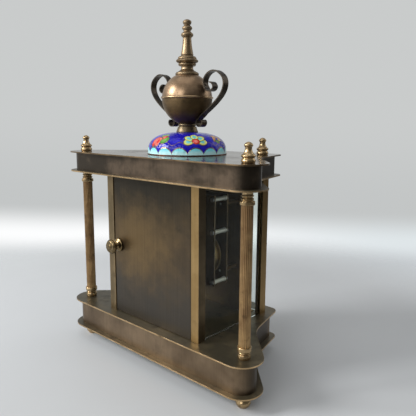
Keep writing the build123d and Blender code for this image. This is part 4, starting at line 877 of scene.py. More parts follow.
        # painted light: the pillars are pale grey and barely metallic so that they show lit inside the case
        self.pillar = TurnedBrass(
            "movement_pillar", (0.44, 0.44, 0.39), (0.52, 0.50, 0.42), (0.26, 0.24, 0.20),
            roughness=0.42, cloud_scale=80.0, darkness=0.3, metallic=0.3).build()
        self.steel = PlainSteel("bare_steel", (0.40, 0.40, 0.41)).build()
        self.rod = PlainSteel("threaded_steel", (0.34, 0.34, 0.34), 0.4).build()
        self.blued = PlainSteel("blued_steel", (0.03, 0.045, 0.13), 0.22).build()
        self.dial = DialEnamel().build()
        self.paint = Paint().build()
        self.glass = ClearGlass().build()
        self.glass_edge = ClearGlass("glass_edge", tint=(0.10, 0.16, 0.13), shade=0.5).build()


# ---- Mesh helpers -------------------------------------------------------------------------------
def turned_points(start: float, outline: Outline, arc_steps: int = 8) -> list[Pair]:
    """The half section of a turned piece.

    Args:
        start: radius at the lower end.
        outline: stretches upwards: radius halfway up (None if straight), radius at the end, rise.
        arc_steps: points on each curved stretch.

    Returns:
        Radius and height of each point, from the axis below to the axis above.
    """
    points = [(0.0, 0.0), (start, 0.0)]
    radius, height = start, 0.0
    for middle, end, rise in outline:
        if middle is not None:
            bulge = middle - (radius + end) / 2
            for step in range(1, arc_steps):
                share = step / arc_steps
                belly = bulge * math.sin(math.pi * share)
                points.append((radius + (end - radius) * share + belly, height + rise * share))
        radius, height = end, height + rise
        points.append((radius, height))
    if radius > 0:
        points.append((0.0, height))
    return points


def shift(bm: BMesh, way: Sequence[float], verts: Optional[Sequence] = None) -> None:
    """Moves a mesh, or some of its vertices."""
    bmesh.ops.translate(bm, vec=way, verts=verts or bm.verts)


def rotate(bm: BMesh, angle: float, axis: str, verts: Optional[Sequence] = None) -> None:
    """Turns a mesh, or some of its vertices, about an axis through the origin."""
    bmesh.ops.rotate(bm, cent=(0, 0, 0), matrix=Matrix.Rotation(angle, 3, axis), verts=verts or bm.verts)


def thicken(bm: BMesh, height: float) -> None:
    """Raises a flat drawing along Z into a closed body.

    Args:
        bm: the drawing.
        height: how far it is raised.
    """
    raised = bmesh.ops.extrude_face_region(bm, geom=bm.faces[:])["geom"]
    shift(bm, (0, 0, height), [item for item in raised if isinstance(item, bmesh.types.BMVert)])
    bmesh.ops.recalc_face_normals(bm, faces=bm.faces)


def smooth_by_angle(bm: BMesh, angle: float = SHARP_ANGLE) -> list[bmesh.types.BMEdge]:
    """Shades a mesh smooth, with its corners sharper than an angle kept crisp.

    Args:
        bm: the mesh.
        angle: the smallest angle of a crisp corner, in radians.

    Returns:
        The crisp edges.
    """
    for face in bm.faces:
        face.smooth = True
    crisp = [edge for edge in bm.edges if len(edge.link_faces) == 2 and edge.calc_face_angle(0.0) > angle]
    for edge in bm.edges:
        edge.smooth = True
    for edge in crisp:
        edge.smooth = False
    return crisp


def soften(bm: BMesh, width: float, segments: int = 2) -> list[bmesh.types.BMFace]:
    """Rounds a mesh's crisp edges so that they catch the light.

    Args:
        bm: the mesh.
        width: width of the rounding, in the mesh's own units.
        segments: faces across the rounding.

    Returns:
        The faces of the rounding.
    """
    made = bmesh.ops.bevel(bm, geom=smooth_by_angle(bm), offset=width, offset_type="OFFSET",
                           segments=segments, profile=0.5, affect="EDGES", clamp_overlap=True, material=-1)
    smooth_by_angle(bm, ROUNDED_ANGLE)
    return made["faces"]


def lathed(points: Points, steps: int) -> BMesh:
    """Carries a half section once round Z.

    Args:
        points: radius and height of each point of the section.
        steps: faces round the axis.

    Returns:
        The mesh, in the section's units.
    """
    bm = bmesh.new()
    verts = [bm.verts.new((radius, 0.0, height)) for radius, height in points]
    edges = [bm.edges.new(pair) for pair in zip(verts, verts[1:])]
    bmesh.ops.spin(bm, geom=verts + edges, cent=(0, 0, 0), axis=(0, 0, 1), dvec=(0, 0, 0),
                   angle=2 * math.pi, steps=steps, use_merge=True, use_normal_flip=False, use_duplicate=False)
    return bm


def spun(points: Points, steps: int = SPIN_STEPS, edge: float = 0.0) -> BMesh:
    """Turns a half section into a piece that is ready for its finish.

    Args:
        points: radius and height of each point of the section.
        steps: faces round the axis.
        edge: width of the rounding on crisp edges, or 0.

    Returns:
        The mesh, in the section's units.
    """
    bm = lathed(points, steps)
    bmesh.ops.remove_doubles(bm, verts=bm.verts, dist=SPIN_WELD)
    bmesh.ops.recalc_face_normals(bm, faces=bm.faces)
    if edge:
        soften(bm, edge)
    else:
        smooth_by_angle(bm)
    return bm


def link(thing: bpy.types.Object) -> bpy.types.Object:
    """Puts an object in the scene and returns it."""
    bpy.context.scene.collection.objects.link(thing)
    return thing


def finished(bm: BMesh, name: str, body: str, materials: Sequence[bpy.types.Material],
             replaces: Sequence[str] = ()) -> None:
    """Turns a mesh into a piece of the clock that rides on a body.

    Args:
        bm: the mesh in millimetres, which is freed.
        name: the piece's name.
        body: the body that it moves with.
        materials: its materials, in the order of the faces' material index.
        replaces: the nodes that it stands for.
    """
    bmesh.ops.scale(bm, vec=(MM, MM, MM), verts=bm.verts)
    mesh = bpy.data.meshes.new(name)
    bm.to_mesh(mesh)
    bm.free()
    piece = link(bpy.data.objects.new(name, mesh))
    for material in materials:
        mesh.materials.append(material)
    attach(piece, body)
    if replaces:
        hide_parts(*replaces)
    even = piece.modifiers.new("even_shading", "WEIGHTED_NORMAL")
    even.mode = "FACE_AREA"
    even.keep_sharp = True
    LOG.info("piece %s on %s, %d faces", name, body, len(mesh.polygons))


class Box:
    """The box round a node of the frame, in millimetres."""

    def __init__(self, node: str) -> None:
        """Measures the node.

        Args:
            node: its name.
        """
        self.low, self.high = (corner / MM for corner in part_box(node))
        self.middle = (self.low + self.high) / 2
        self.foot = Vector((self.middle.x, self.middle.y, self.low.z))
        self.height = self.high.z - self.low.z


class Workshop:
    """What every sub-assembly works with: the frame, the finishes and the ways to make a piece."""

    def __init__(self, frame: dict, finishes: Finishes) -> None:
        self.frame = frame
        self.finishes = finishes

    def body(self, node: str) -> str:
        """The body that a node moves with."""
        return self.frame["nodes"][node]["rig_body"]

    def dress(self, node: str, material: bpy.types.Material) -> None:
        """Gives a node of the frame its finish.

        Args:
            node: its name.
            material: the finish.
        """
        mesh = self.frame["nodes"][node].data
        mesh.materials.clear()
        mesh.materials.append(material)

    def stand_in(self, bm: BMesh, node: str, ending: str, slot: Slot, *materials: bpy.types.Material) -> None:
        """Finishes a mesh as the piece that stands for a node.

        Args:
            bm: the mesh, in its place.
            node: the node.
            ending: what the piece's name has after the node's.
            slot: the record's slot of its finish; not used.
            materials: its materials.
        """
        finished(bm, node + ending, self.body(node), materials, [node])

    def seat(self, bm: BMesh, node: str, ending: str, slot: Slot, *materials: bpy.types.Material) -> None:
        """The same for a mesh round the origin, which it first sets on the lower end of the node's box."""
        shift(bm, Box(node).foot)
        self.stand_in(bm, node, ending, slot, *materials)

    def refine(self, node: str, slot: Slot, materials: Sequence[bpy.types.Material], edge: float,
               sort: Optional[Callable[[bmesh.types.BMFace], int]] = None, segments: int = 2,
               edge_index: Optional[int] = None) -> None:
        """Makes a finished copy of a node with merged faces and rounded edges.

        Args:
            node: the node that the piece copies and stands for.
            slot: the record's slot of its finish.
            materials: its materials.
            edge: width of the rounding, in millimetres.
            sort: gives a face its material index, before the edges are rounded.
            segments: faces across the rounding.
            edge_index: material index of the rounding's faces, if they have their own.
        """
        bm = bmesh.new()
        bm.from_mesh(self.frame["nodes"][node].data)
        bmesh.ops.scale(bm, vec=(1 / MM, 1 / MM, 1 / MM), verts=bm.verts)
        bmesh.ops.remove_doubles(bm, verts=bm.verts, dist=NODE_WELD)
        bmesh.ops.dissolve_limit(bm, angle_limit=FLAT_ANGLE, use_dissolve_boundaries=False,
                                 verts=bm.verts, edges=bm.edges)
        bm.normal_update()
        for face in bm.faces:
            face.material_index = sort(face) if sort else 0
        rounding = soften(bm, edge, segments)
        if edge_index is not None:
            for face in rounding:
                face.material_index = edge_index
        self.stand_in(bm, node, "_piece", slot, *materials)


# ---- Sub-assemblies -----------------------------------------------------------------------------
@dataclass
class Boxes:
    """The base and the frieze: four plan-shaped plates and two bent bands."""

    shop: Workshop
    plate_edge: float = 0.28
    band_edge: float = 0.15

    def build(self) -> None:
        """Refines the plates and bands."""
        finishes = self.shop.finishes
        for node in ("base_bottom_plate", "base_top_plate", "frieze_bottom_plate", "top_plate"):
            top = node == "top_plate"
            # the top plate takes the polished finish and the shaded edge copy, the other plates the painted
            # edge highlight
            faces = (finishes.plate, finishes.edge_shaded) if top else (finishes.base_plate, finishes.edge)
            self.shop.refine(node, Slot.PLATE, faces, self.plate_edge,
                             sort=lambda face: int(abs(face.normal.z) < FACES_ALONG), edge_index=1)
        self.shop.refine("frieze_band", Slot.BAND, (finishes.frieze_band,), self.band_edge)
        self.shop.refine("base_band", Slot.BAND, (finishes.base_band,), self.band_edge)


@dataclass
class Supports:
    """Fluted columns, finials, feet and the rods inside them."""

    shop: Workshop
    shaft_r: float = 5.0
    flutes: int = 20
    flute_depth: float = 0.42
    flute_share: float = 0.74
    points_per_flute: int = 10
    ridge_angle: float = math.radians(24.0)
    overlap: float = 0.2
    base_start_r: float = 5.1
    capital_start_r: float = 5.9
    capital_h: float = 12.0
    column_edge: float = 0.12
    finial_start_r: float = 5.2
    foot_pad_r: float = 4.4
    turning_edge: float = 0.14
    arc_steps: int = 12
    base: Outline = ((5.7, 5.1, 4.5), (None, 4.5, 0.0), (None, 4.5, 0.3), (5.3, 4.6, 1.9),
                     (None, 4.6, 0.3), (None, 5.9, 0.0), (None, 6.2, 0.5), (None, 6.2, 3.0),
                     (None, 5.9, 0.5))
    capital: Outline = ((None, 6.2, 0.4), (None, 6.2, 2.4), (None, 5.9, 0.4), (None, 4.7, 0.0),
                        (None, 4.7, 0.8), (5.4, 4.7, 1.6), (4.3, 4.6, 1.0), (5.2, 4.5, 1.7),
                        (4.7, 5.7, 3.7))
    finial: Outline = ((5.9, 5.0, 3.6), (None, 4.7, 0.35), (5.9, 4.2, 3.4), (3.0, 2.8, 4.9),
                       (3.6, 2.2, 3.5), (1.4, 0.0, 0.85))
    foot: Outline = ((None, 4.8, 0.6), (6.6, 5.0, 7.2), (4.6, 5.3, 2.9), (6.2, 5.3, 3.8))

    def shaft(self, low: float, high: float) -> BMesh:
        """The fluted shaft between two heights, round the Z axis.

        Args:
            low: height of its lower end.
            high: height of its upper end.

        Returns:
            The mesh, in millimetres.
        """
        bm = bmesh.new()
        ring = bmesh.ops.create_circle(bm, cap_ends=True, radius=self.shaft_r,
                                       segments=self.flutes * self.points_per_flute)["verts"]
        for vert in ring:
            flute = math.atan2(vert.co.y, vert.co.x) * self.flutes / (2 * math.pi)
            across = abs((flute % 1.0) - 0.5) * 2
            hollow = math.sqrt(max(0.0, 1 - (across / self.flute_share) ** 2))
            vert.co *= 1 - self.flute_depth * hollow / self.shaft_r
        shift(bm, (0, 0, low), ring)
        thicken(bm, high - low)
        smooth_by_angle(bm, self.ridge_angle)
        return bm

    def column(self, node: str) -> None:
        """One column with its turned base and capital.

        Args:
            node: the column's node.
        """
        base = turned_points(self.base_start_r, self.base)
        capital = turned_points(self.capital_start_r, self.capital)
        capital_z = Box(node).height - self.capital_h
        bm = self.shaft(base[-1][1] - self.overlap, capital_z + self.overlap)
        for points, rise in ((base, 0.0), (capital, capital_z)):
            part = spun(points, edge=self.column_edge)
            shift(part, (0, 0, rise))
            for face in part.faces:
                face.material_index = 1
            mesh = bpy.data.meshes.new("column_turning")
            part.to_mesh(mesh)
            part.free()
            bm.from_mesh(mesh)
            bpy.data.meshes.remove(mesh)
        finishes = self.shop.finishes
        self.shop.seat(bm, node, "_fluted", Slot.COLUMN, finishes.shaft, finishes.turned)

    def turning(self, node: str, start: float, outline: Outline) -> None:
        """A finial or a foot.

        Args:
            node: its node.
            start: radius at its lower end.
            outline: its stretches upwards.
        """
        bm = spun(turned_points(start, outline, self.arc_steps), edge=self.turning_edge)
        self.shop.seat(bm, node, "_turned", Slot.TURNED, self.shop.finishes.turned)

    def build(self) -> None:
        """Builds the columns, finials and feet and dresses the rods."""
        for side in ("left", "right"):
            self.column(f"column_{side}")
            for where in ("rear", "front"):
                self.turning(f"finial_{where}_{side}", self.finial_start_r, self.finial)
                self.turning(f"foot_{where}_{side}", self.foot_pad_r, self.foot)
        self.shop.dress("tie_rods", self.shop.finishes.rod)
        self.shop.dress("case_screws", self.shop.finishes.rod)


@dataclass
class GlazedCase:
    """Four square posts and three panes."""

    shop: Workshop
    post_edge: float = 0.38
    pane_edge: float = 0.12
    smallest_face: float = 1000.0

    def build(self) -> None:
        """Refines the posts and the panes."""
        finishes = self.shop.finishes
        for node in ("rear_post_left", "rear_post_right", "front_post_left", "front_post_right"):
            low = Box(node).low
            # painted light and shade: the rear post at negative X takes the lit copy on its faces, the others
            # the shaded copy; rear posts' sides take the darkest copy, front posts' sides the lit one
            flat = finishes.post if low.y > 0 and low.x < 0 else finishes.post_shaded
            side = finishes.post_side_shaded if low.y > 0 else finishes.post
            self.shop.refine(node, Slot.POST, (flat, finishes.post_edge, side), self.post_edge, segments=3,
                             sort=lambda face: 2 if abs(face.normal.x) > FACES_ALONG else 0, edge_index=1)
        for pane in ("side_glass_left", "side_glass_right", "front_glass"):
            self.shop.refine(pane, Slot.GLASS, (finishes.glass, finishes.glass_edge), self.pane_edge,
                             sort=lambda face: int(face.calc_area() < self.smallest_face), edge_index=1)


@dataclass
class BackDoor:
    """The hinged door with its knob, pins and catch."""

    shop: Workshop
    door_edge: float = 0.35
    knob_edge: float = 0.16
    arc_steps: int = 12
    rose_r: float = 5.9
    knob: Outline = ((None, 5.9, 0.95), (None, 6.7, 0.05), (6.9, 6.1, 1.3), (4.0, 3.1, 2.0),
                     (2.9, 4.7, 2.2), (7.4, 5.6, 5.7), (4.3, 2.9, -0.3), (None, 2.4, 0.7),
                     (None, 0.0, 1.0))

    def turned_knob(self) -> None:
        """The knob, turned and laid along +Y on the door's face."""
        box, points = Box("door_knob"), turned_points(self.rose_r, self.knob, self.arc_steps)
        bm = spun(points, edge=self.knob_edge)
        rotate(bm, -math.pi / 2, "X")
        shift(bm, (box.middle.x, box.high.y - points[-1][1], box.middle.z))
        self.shop.stand_in(bm, "door_knob", "_turned", Slot.TURNED, self.shop.finishes.knob)

    def build(self) -> None:
        """Refines the door and builds the knob."""
        finishes = self.shop.finishes
        self.shop.refine("back_door", Slot.DOOR, (finishes.door, finishes.door_edge), self.door_edge,
                         segments=3, edge_index=1)
        self.turned_knob()
        self.shop.dress("hinge_pins", finishes.steel)
        self.shop.dress("door_catch", finishes.movement)


@dataclass
class Urn:
    """The enamelled dome and the covered urn with its two handles."""

    shop: Workshop
    dome_r: float = 38.9
    dome_h: float = 20.5
    dome_power: float = 2.77
    dome_steps: int = 36
    dome_spin: int = 192
    lip_w: float = 1.6
    seat_r: float = 12.0
    rim_edge: float = 0.2
    bowl_r: float = 24.6
    bowl_depth: float = 25.2
    bowl_end_r: float = 8.2
    bowl_steps: int = 24
    bowl_spin: int = 128
    cover_rise: float = 24.9
    collar_r: float = 11.1
    belt_r: float = 25.7
    belt_edge_r: float = 25.1
    belt_h: float = 2.0
    belt_inset: float = 1.0
    belt_steps: int = 9
    turning_edge: float = 0.12
    foot_r: float = 10.7
    foot_edge: float = 0.15
    foot_steps: int = 12
    spire_steps: int = 10
    handle_edge: float = 0.25
    foot: Outline = ((None, 10.7, 0.8), (9.8, 9.3, 4.5), (None, 8.1, 0.3), (8.6, 8.2, 2.8))
    spire: Outline = (
        (11.4, 10.7, 2.6), (8.0, 6.1, 2.9), (5.8, 6.1, 2.9), (None, 7.9, 0.4), (8.6, 8.1, 2.6),
        (None, 9.2, 0.3), (10.8, 9.0, 3.6), (8.9, 8.0, 2.2), (None, 5.8, 0.6), (6.05, 5.8, 2.4),
        (4.6, 4.0, 14.4), (None, 4.6, 0.5), (6.0, 4.5, 4.2), (None, 3.6, 0.7), (3.4, 3.5, 1.2),
        (4.9, 3.7, 4.1), (2.9, 3.0, 1.1), (3.9, 4.1, 2.3), (3.9, 2.6, 2.1), (1.5, 0.0, 0.85))

    def dome(self) -> None:
        """The dome, with a smooth rounded-square section and a flat seat."""
        last = math.pi / 2 - math.asin((self.seat_r / self.dome_r) ** (self.dome_power / 2))
        turns = [last * step / self.dome_steps for step in range(self.dome_steps + 1)]
        points = [(self.dome_r * math.cos(turn) ** (2 / self.dome_power),
                   self.dome_h * math.sin(turn) ** (2 / self.dome_power)) for turn in turns]
        bm = spun([(self.dome_r - self.lip_w, 0.0), *points, (0.0, points[-1][1])], self.dome_spin)
        enamel = DomeEnamel(MM * Box("enamel_dome").foot, self.dome_r, self.dome_h, self.dome_power)
        self.shop.seat(bm, "enamel_dome", "_fired", Slot.ENAMEL, enamel.build())

    def arc(self, depth: float, end_r: float) -> list[Pair]:
        """The half section of a bowl from its wide end to its flat end.

        Args:
            depth: height of the full half round.
            end_r: radius of its flat end.

        Returns:
            Radius and height of each point.
        """
        last = math.acos(end_r / self.bowl_r)
        turns = [last * step / self.bowl_steps for step in range(self.bowl_steps + 1)]
        return [(self.bowl_r * math.cos(turn), depth * math.sin(turn)) for turn in turns]

    def bowls(self) -> None:
        """The lower bowl, with its flat end below, and the cover, with its flat end on top."""
        below, above = self.arc(self.bowl_depth, self.bowl_end_r), self.arc(self.cover_rise, self.collar_r)
        rise = below[-1][1]
        bm = spun([(0.0, rise)] + [(radius, rise - height) for radius, height in below], self.bowl_spin)
        self.shop.seat(bm, "urn_lower_bowl", "_spun", Slot.URN, self.shop.finishes.bowl)
        bm = spun([(0.0, 0.0), *above, (0.0, above[-1][1])], self.bowl_spin)
        self.shop.seat(bm, "urn_cover", "_spun", Slot.URN, self.shop.finishes.urn)

    def belt(self) -> None:
        """The bright rolled belt round the urn's middle."""
        inner = self.bowl_r - self.belt_inset
        rolled = turned_points(self.belt_edge_r, ((self.belt_r, self.belt_edge_r, self.belt_h),),
                               self.belt_steps)[1:-1]
        bm = spun([(inner, 0.0), *rolled, (inner, self.belt_h)], self.bowl_spin, self.turning_edge)
        shift(bm, Box("urn_cover").foot)
        finished(bm, "urn_belt_rolled", self.shop.body("urn_cover"), (self.shop.finishes.belt,))

    def build(self) -> None:
        """Builds the dome, the bowls, the belt, the foot and the spire, and refines the handles."""
        finishes = self.shop.finishes
        self.dome()
        self.shop.refine("dome_rim", Slot.RIM, (finishes.rim,), self.rim_edge)
        self.bowls()
        self.belt()
        foot = spun(turned_points(self.foot_r, self.foot, self.foot_steps), edge=self.foot_edge)
        self.shop.seat(foot, "urn_foot", "_turned", Slot.TURNED, finishes.foot)
        spire = spun(turned_points(self.collar_r, self.spire, self.spire_steps), edge=self.turning_edge)
        self.shop.seat(spire, "urn_spire", "_turned", Slot.TURNED, finishes.spire)
        for side in ("left", "right"):
            self.shop.refine(f"urn_handle_{side}", Slot.HANDLE, (finishes.handle,), self.handle_edge)


@dataclass
class DialSide:
    """The mask, the dial with its numerals and minute track, the bezel and the hands."""

    shop: Workshop
    numeral_r: float = 33.0
    numeral_h: float = 7.6
    numeral_squeeze: float = 0.86
    track_r: float = 38.6
    track_w: float = 0.25
    track_steps: int = 144
    tick_h: float = 1.6
    tick_w: float = 0.28
    hour_tick_w: float = 0.7
    ink_t: float = 0.06
    ink_weld: float = 1e-5
    plate_edge: float = 0.2
    fine_edge: float = 0.12
    nut_edge: float = 0.1
    numerals: tuple[str, ...] = ("XII", "I", "II", "III", "IIII", "V", "VI", "VII", "VIII", "IX", "X", "XI")

    def numeral(self, text: str, hour: int) -> None:
        """One numeral, upright towards the rim.

        Args:
            text: its letters.
            hour: its hour, counted clockwise from the top.
        """
        curve = bpy.data.curves.new(f"numeral_{hour}", "FONT")
        curve.body = text
        curve.align_x, curve.align_y = "CENTER", "CENTER"
        holder = link(bpy.data.objects.new(f"numeral_{hour}_outline", curve))
        mesh = bpy.data.meshes.new_from_object(holder)
        bpy.data.objects.remove(holder)
        bm = bmesh.new()
        bm.from_mesh(mesh)
        bpy.data.meshes.remove(mesh)
        across, up = ([vert.co[axis] for vert in bm.verts] for axis in range(2))
        shift(bm, (-(max(across) + min(across)) / 2, -(max(up) + min(up)) / 2, 0))
        fit = self.numeral_h / (max(up) - min(up))
        bmesh.ops.scale(bm, vec=(self.numeral_squeeze * fit, fit, 1.0), verts=bm.verts)
        shift(bm, (0, self.numeral_r, 0))
        rotate(bm, -math.radians(DEGREES_PER_HOUR * hour), "Z")
        self.print_on_dial(bm, f"dial_numeral_{hour:02d}")

    def print_on_dial(self, bm: BMesh, name: str) -> None:
        """Thickens a flat drawing and lays it on the dial.

        Args:
            bm: the drawing, X to the right and Y up as seen from the front.
            name: the piece's name.
        """
        bmesh.ops.remove_doubles(bm, verts=bm.verts, dist=self.ink_weld)
        thicken(bm, self.ink_t)
        rotate(bm, math.pi / 2, "X")
        dial = Box("dial_disc")
        shift(bm, (dial.middle.x, dial.low.y, dial.middle.z))
        finished(bm, name, "case", (self.shop.finishes.paint,))

    def minute_track(self) -> None:
        """Sixty ticks between two thin rings."""
        bm = bmesh.new()
        for minute in range(MINUTES):
            wide = self.tick_w if minute % MINUTES_PER_FIGURE else self.hour_tick_w
            tick = bmesh.ops.create_grid(bm, x_segments=1, y_segments=1, size=0.5)["verts"]
            bmesh.ops.scale(bm, vec=(wide, self.tick_h, 1.0), verts=tick)
            shift(bm, (0, self.track_r, 0), tick)
            rotate(bm, -math.radians(360 / MINUTES * minute), "Z", tick)
        self.print_on_dial(bm, "dial_minute_ticks")
        for number, radius in enumerate((self.track_r - self.tick_h / 2, self.track_r + self.tick_h / 2)):
            inner, outer = radius - self.track_w / 2, radius + self.track_w / 2
            self.print_on_dial(lathed([(inner, 0.0), (outer, 0.0)], self.track_steps),
                               f"dial_track_ring_{number}")

    def build(self) -> None:
        """Refines the mask, bezel, disc and hands, and prints the dial."""
        finishes, refine = self.shop.finishes, self.shop.refine
        # the mask's back faces take the shaded copy
        refine("dial_mask", Slot.MASK, (finishes.mask, finishes.door_edge, finishes.mask_back_shaded),
               self.plate_edge, sort=lambda face: 2 if face.normal.y > FACES_ALONG else 0, edge_index=1)
        refine("dial_disc", Slot.DIAL, (finishes.dial,), self.plate_edge)
        refine("dial_bezel", Slot.TURNED, (finishes.turned,), self.fine_edge)
        for hand in ("hour_hand", "minute_hand"):
            refine(hand, Slot.HAND, (finishes.blued,), self.fine_edge)
        refine("hand_nut", Slot.HAND, (finishes.turned,), self.nut_edge)
        for hour, text in enumerate(self.numerals):
            self.numeral(text, hour)
        self.minute_track()


@dataclass
class Movement:
    """The going train, its plates and pillars, the motion work and the pendulum."""

    shop: Workshop
    plates: tuple[str, ...] = ("movement_back_plate", "movement_front_plate")
    wheels: tuple[str, ...] = ("spring_barrel", "centre_wheel", "third_wheel", "escape_wheel", "minute_wheel",
                               "hour_wheel", "pendulum")
    steel: tuple[str, ...] = ("movement_screws", "mainspring", "winding_arbor", "ratchet_wheel", "click",
                              "cannon_pinion", "anchor")
    brass_edge: float = 0.08
    steel_edge: float = 0.06
    dial_feet_y: float = -12.4

    def build(self) -> None:
        """Refines every part of the movement."""
        finishes, refine = self.shop.finishes, self.shop.refine
        for node in self.plates:
            refine(node, Slot.MOVEMENT, (finishes.movement_plate_shaded,), self.brass_edge, segments=1)
        # the pillars' dial feet take the shaded plate copy
        refine("movement_pillars", Slot.MOVEMENT, (finishes.pillar, finishes.movement_plate_shaded), self.brass_edge,
               sort=lambda face: int(face.calc_center_median().y < self.dial_feet_y), segments=1)
        for node in self.wheels:
            refine(node, Slot.MOVEMENT, (finishes.movement,), self.brass_edge, segments=1)
        for node in self.steel:
            refine(node, Slot.STEEL, (finishes.steel,), self.steel_edge, segments=1)


# ---- Studio -------------------------------------------------------------------------------------
@dataclass(frozen=True)
class Lamp:
    """A square soft lamp: its name, place and side in metres, and its power in watts."""

    name: str
    place: tuple[float, float, float]
    size: float
    power: float

    def build(self, aim: Vector) -> None:
        """Sets up the lamp.

        Args:
            aim: the point that it faces, in metres.
        """
        data = bpy.data.lights.new(self.name, "AREA")
        data.shape = "SQUARE"
        data.size = self.size
        data.energy = self.power
        lamp = link(bpy.data.objects.new(self.name, data))
        lamp.location = self.place
        lamp.rotation_euler = (Vector(self.place) - aim).to_track_quat("Z", "Y").to_euler()


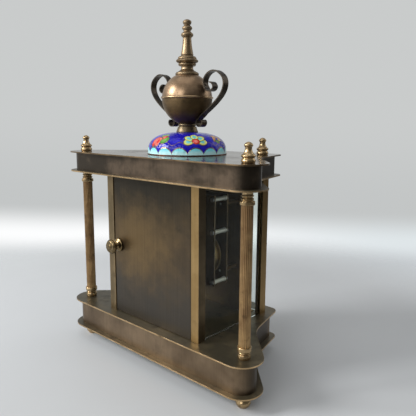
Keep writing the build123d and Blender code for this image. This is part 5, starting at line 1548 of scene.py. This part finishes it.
@dataclass
class Studio:
    """The floor, the lamps, the surroundings and the camera.

    A field named a way is a level direction in X and Y. Other pairs say where a change begins and ends:
    near, fade: of the floor, along wall_way and away from the clock.
    dim, bright: of the surroundings' sideways change, as they are seen and as they are mirrored.
    wall_slope, cove_slope, floor_slope, overhead_from: of their upward change.
    slant: how the slopes lean from one side to the other, as an offset and an amount.
    """

    eye: Vector = Vector((-339.32, 346.415, 239.269))
    azimuth: float = 222.025
    pitch: float = 10.074
    roll: float = 0.399
    focal_px: float = 482.693
    frame_px: float = 416.0
    sensor: float = 36.0
    clip: Pair = (0.01, 50.0)
    wall: Colour = (0.585, 0.600, 0.598)
    low_wall: Colour = (0.545, 0.562, 0.562)
    horizon: Colour = (0.98, 0.99, 0.995)
    dim_horizon: Colour = (0.74, 0.79, 0.81)
    far_floor: Colour = (0.68, 0.705, 0.715)
    dim_floor: Colour = (0.60, 0.635, 0.66)
    floor_colour: Colour = (0.595, 0.615, 0.630)
    # the floor's painted shade towards the camera
    near_floor_shaded: Colour = (0.565, 0.580, 0.588)
    wall_way: Pair = (0.67, -0.743)
    dim_way: Pair = (-0.743, -0.67)
    bright_way: Pair = (0.99, 0.10)
    floor_r: float = 2.0
    floor_roughness: float = 0.6
    near: Pair = (-0.26, 0.02)
    fade: Pair = (0.30, 0.60)
    dim: Pair = (-0.12, 0.42)
    wall_slope: Pair = (-0.17, 0.02)
    cove_slope: Pair = (-0.236, -0.170)
    floor_slope: Pair = (-0.288, -0.238)
    slant: Pair = (0.3, 0.018)
    round_share: float = 0.90
    nearest: float = 0.01
    ambient: float = 0.30
    dark_side: float = 0.16
    bright: Pair = (-0.30, 0.50)
    overhead: float = 0.45
    overhead_from: Pair = (0.35, 0.80)
    aim: Vector = Vector((0.0, 0.0, 0.17))
    lamps: tuple[Lamp, ...] = (Lamp("window", (1.02, 1.34, 1.12), 0.65, 31.0),
                               Lamp("room", (-0.20, 1.65, 0.95), 1.0, 9.5),
                               Lamp("front", (-0.75, -1.50, 0.95), 1.2, 4.5),
                               Lamp("ceiling", (0.1, 0.1, 1.9), 1.4, 5.0))

    def axes(self) -> tuple[Vector, Vector, Vector]:
        """The camera's directions.

        Returns:
            Right, up and backward.
        """
        turn, tilt, lean = (math.radians(value) for value in (self.azimuth, self.pitch, self.roll))
        back = Vector((math.sin(turn) * math.cos(tilt), -math.cos(turn) * math.cos(tilt), math.sin(tilt)))
        right = (-back).cross(Vector((0, 0, 1))).normalized()
        up = right.cross(-back)
        leaned_right = right * math.cos(lean) + up * math.sin(lean)
        leaned_up = up * math.cos(lean) - right * math.sin(lean)
        return leaned_right, leaned_up, back

    def camera(self) -> None:
        """Sets the camera."""
        data = bpy.data.cameras.new("camera")
        data.sensor_width = self.sensor
        data.lens = self.focal_px / self.frame_px * self.sensor
        data.clip_start, data.clip_end = self.clip
        camera = link(bpy.data.objects.new("camera", data))
        camera.matrix_world = Matrix.Translation(self.eye * MM) @ Matrix(self.axes()).transposed().to_4x4()
        bpy.context.scene.camera = camera

    def floor(self) -> None:
        """A round pale floor that fades into the surroundings towards its edge."""
        bm = bmesh.new()
        bmesh.ops.create_circle(bm, cap_ends=True, radius=self.floor_r, segments=SPIN_STEPS)
        mesh = bpy.data.meshes.new("floor")
        bm.to_mesh(mesh)
        bm.free()
        floor = link(bpy.data.objects.new("floor", mesh))
        surface = Surface("pale_floor")
        cloud = surface.ramp(surface.noise(surface.place, 5.0, 3.0), 0.35, 0.70, 0.0, 0.20)
        # painted shade: the floor darkens towards the camera
        near = surface.ramp(self.along(surface, surface.place, self.wall_way), *self.near, 1.0, 0.0)
        tone = surface.mix(cloud, self.floor_colour, self.far_floor)
        mesh.materials.append(surface.paint({
            "Base Color": surface.mix(near, tone, self.near_floor_shaded), "Roughness": self.floor_roughness,
            "Alpha": surface.ramp(surface.length(surface.place), *self.fade, 1.0, 0.0)}))

    def backdrop(self, tree: Tree, place: Socket) -> Socket:
        """Colour of the wall, the bright cove and the far floor by the slope of the line of sight.

        Args:
            tree: the world's tree.
            place: the direction of sight.

        Returns:
            The colour.
        """
        reach = tree.length(tree.vector("MULTIPLY", place, (1.0, 1.0, 0.0)))
        ahead = tree.math("ABSOLUTE", self.along(tree, place, self.wall_way))
        depth = tree.math("MAXIMUM", ahead, tree.times(reach, self.round_share))
        depth = tree.math("MAXIMUM", depth, self.nearest)
        aside = tree.math("DIVIDE", self.along(tree, place, self.dim_way), depth)
        level = tree.math("DIVIDE", tree.axes(place)["Z"], depth)
        slope = tree.plus(level, tree.times(tree.plus(aside, self.slant[0]), self.slant[1]))
        dim = tree.ramp(aside, *self.dim)
        upper = tree.mix(tree.ramp(slope, *self.wall_slope), self.low_wall, self.wall)
        bright = tree.mix(dim, self.horizon, self.dim_horizon)
        cove = tree.mix(tree.ramp(slope, *self.cove_slope), bright, upper)
        lower = tree.mix(dim, self.far_floor, self.dim_floor)
        return tree.mix(tree.ramp(slope, *self.floor_slope), lower, cove)

    def along(self, tree: Tree, place: Socket, way: Pair) -> Socket:
        """How far a point or a direction lies along a level way.

        Args:
            tree: the tree to write into.
            place: the point or the direction.
            way: the level way.

        Returns:
            The signed length along the way.
        """
        axes = tree.axes(place)
        return tree.plus(tree.times(axes["X"], way[0]), tree.times(axes["Y"], way[1]))

    def surroundings(self) -> None:
        """A pale backdrop for what is seen, dim on the side that metal would mirror darkly."""
        world = bpy.data.worlds.new("studio")
        bpy.context.scene.world = world
        world.use_nodes = True
        tree = Tree(world.node_tree)
        place = tree.add("TexCoord").outputs["Generated"]
        seen = self.backdrop(tree, place)
        side = tree.ramp(self.along(tree, place, self.bright_way), *self.bright, self.dark_side, 1.0)
        high = tree.ramp(tree.axes(place)["Z"], *self.overhead_from)
        lit = tree.plus(side, tree.times(high, tree.minus(self.overhead, side)))
        rays = tree.add("LightPath").outputs
        straight = tree.math("MAXIMUM", rays["Is Camera Ray"], rays["Is Transmission Ray"])
        colour = tree.mix(rays["Is Glossy Ray"], (self.ambient,) * 3, tree.scaled(seen, lit))
        tree.feed(world.node_tree.nodes["Background"].inputs["Color"], tree.mix(straight, colour, seen))

    def build(self) -> None:
        """Builds the studio round the clock."""
        self.camera()
        self.floor()
        self.surroundings()
        for lamp in self.lamps:
            lamp.build(self.aim)
        bpy.context.scene.view_settings.view_transform = "Standard"


def main() -> None:
    """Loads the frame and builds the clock's pieces in order."""
    logging.basicConfig(level=logging.INFO, format="%(name)s: %(message)s")
    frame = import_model()
    shop = Workshop(frame, Finishes())
    for assembly in (Boxes(shop), Supports(shop), GlazedCase(shop), BackDoor(shop), Urn(shop),
                     DialSide(shop), Movement(shop)):
        LOG.info("building %s", type(assembly).__name__)
        assembly.build()
    Studio().build()


if __name__ == "__main__":
    main()
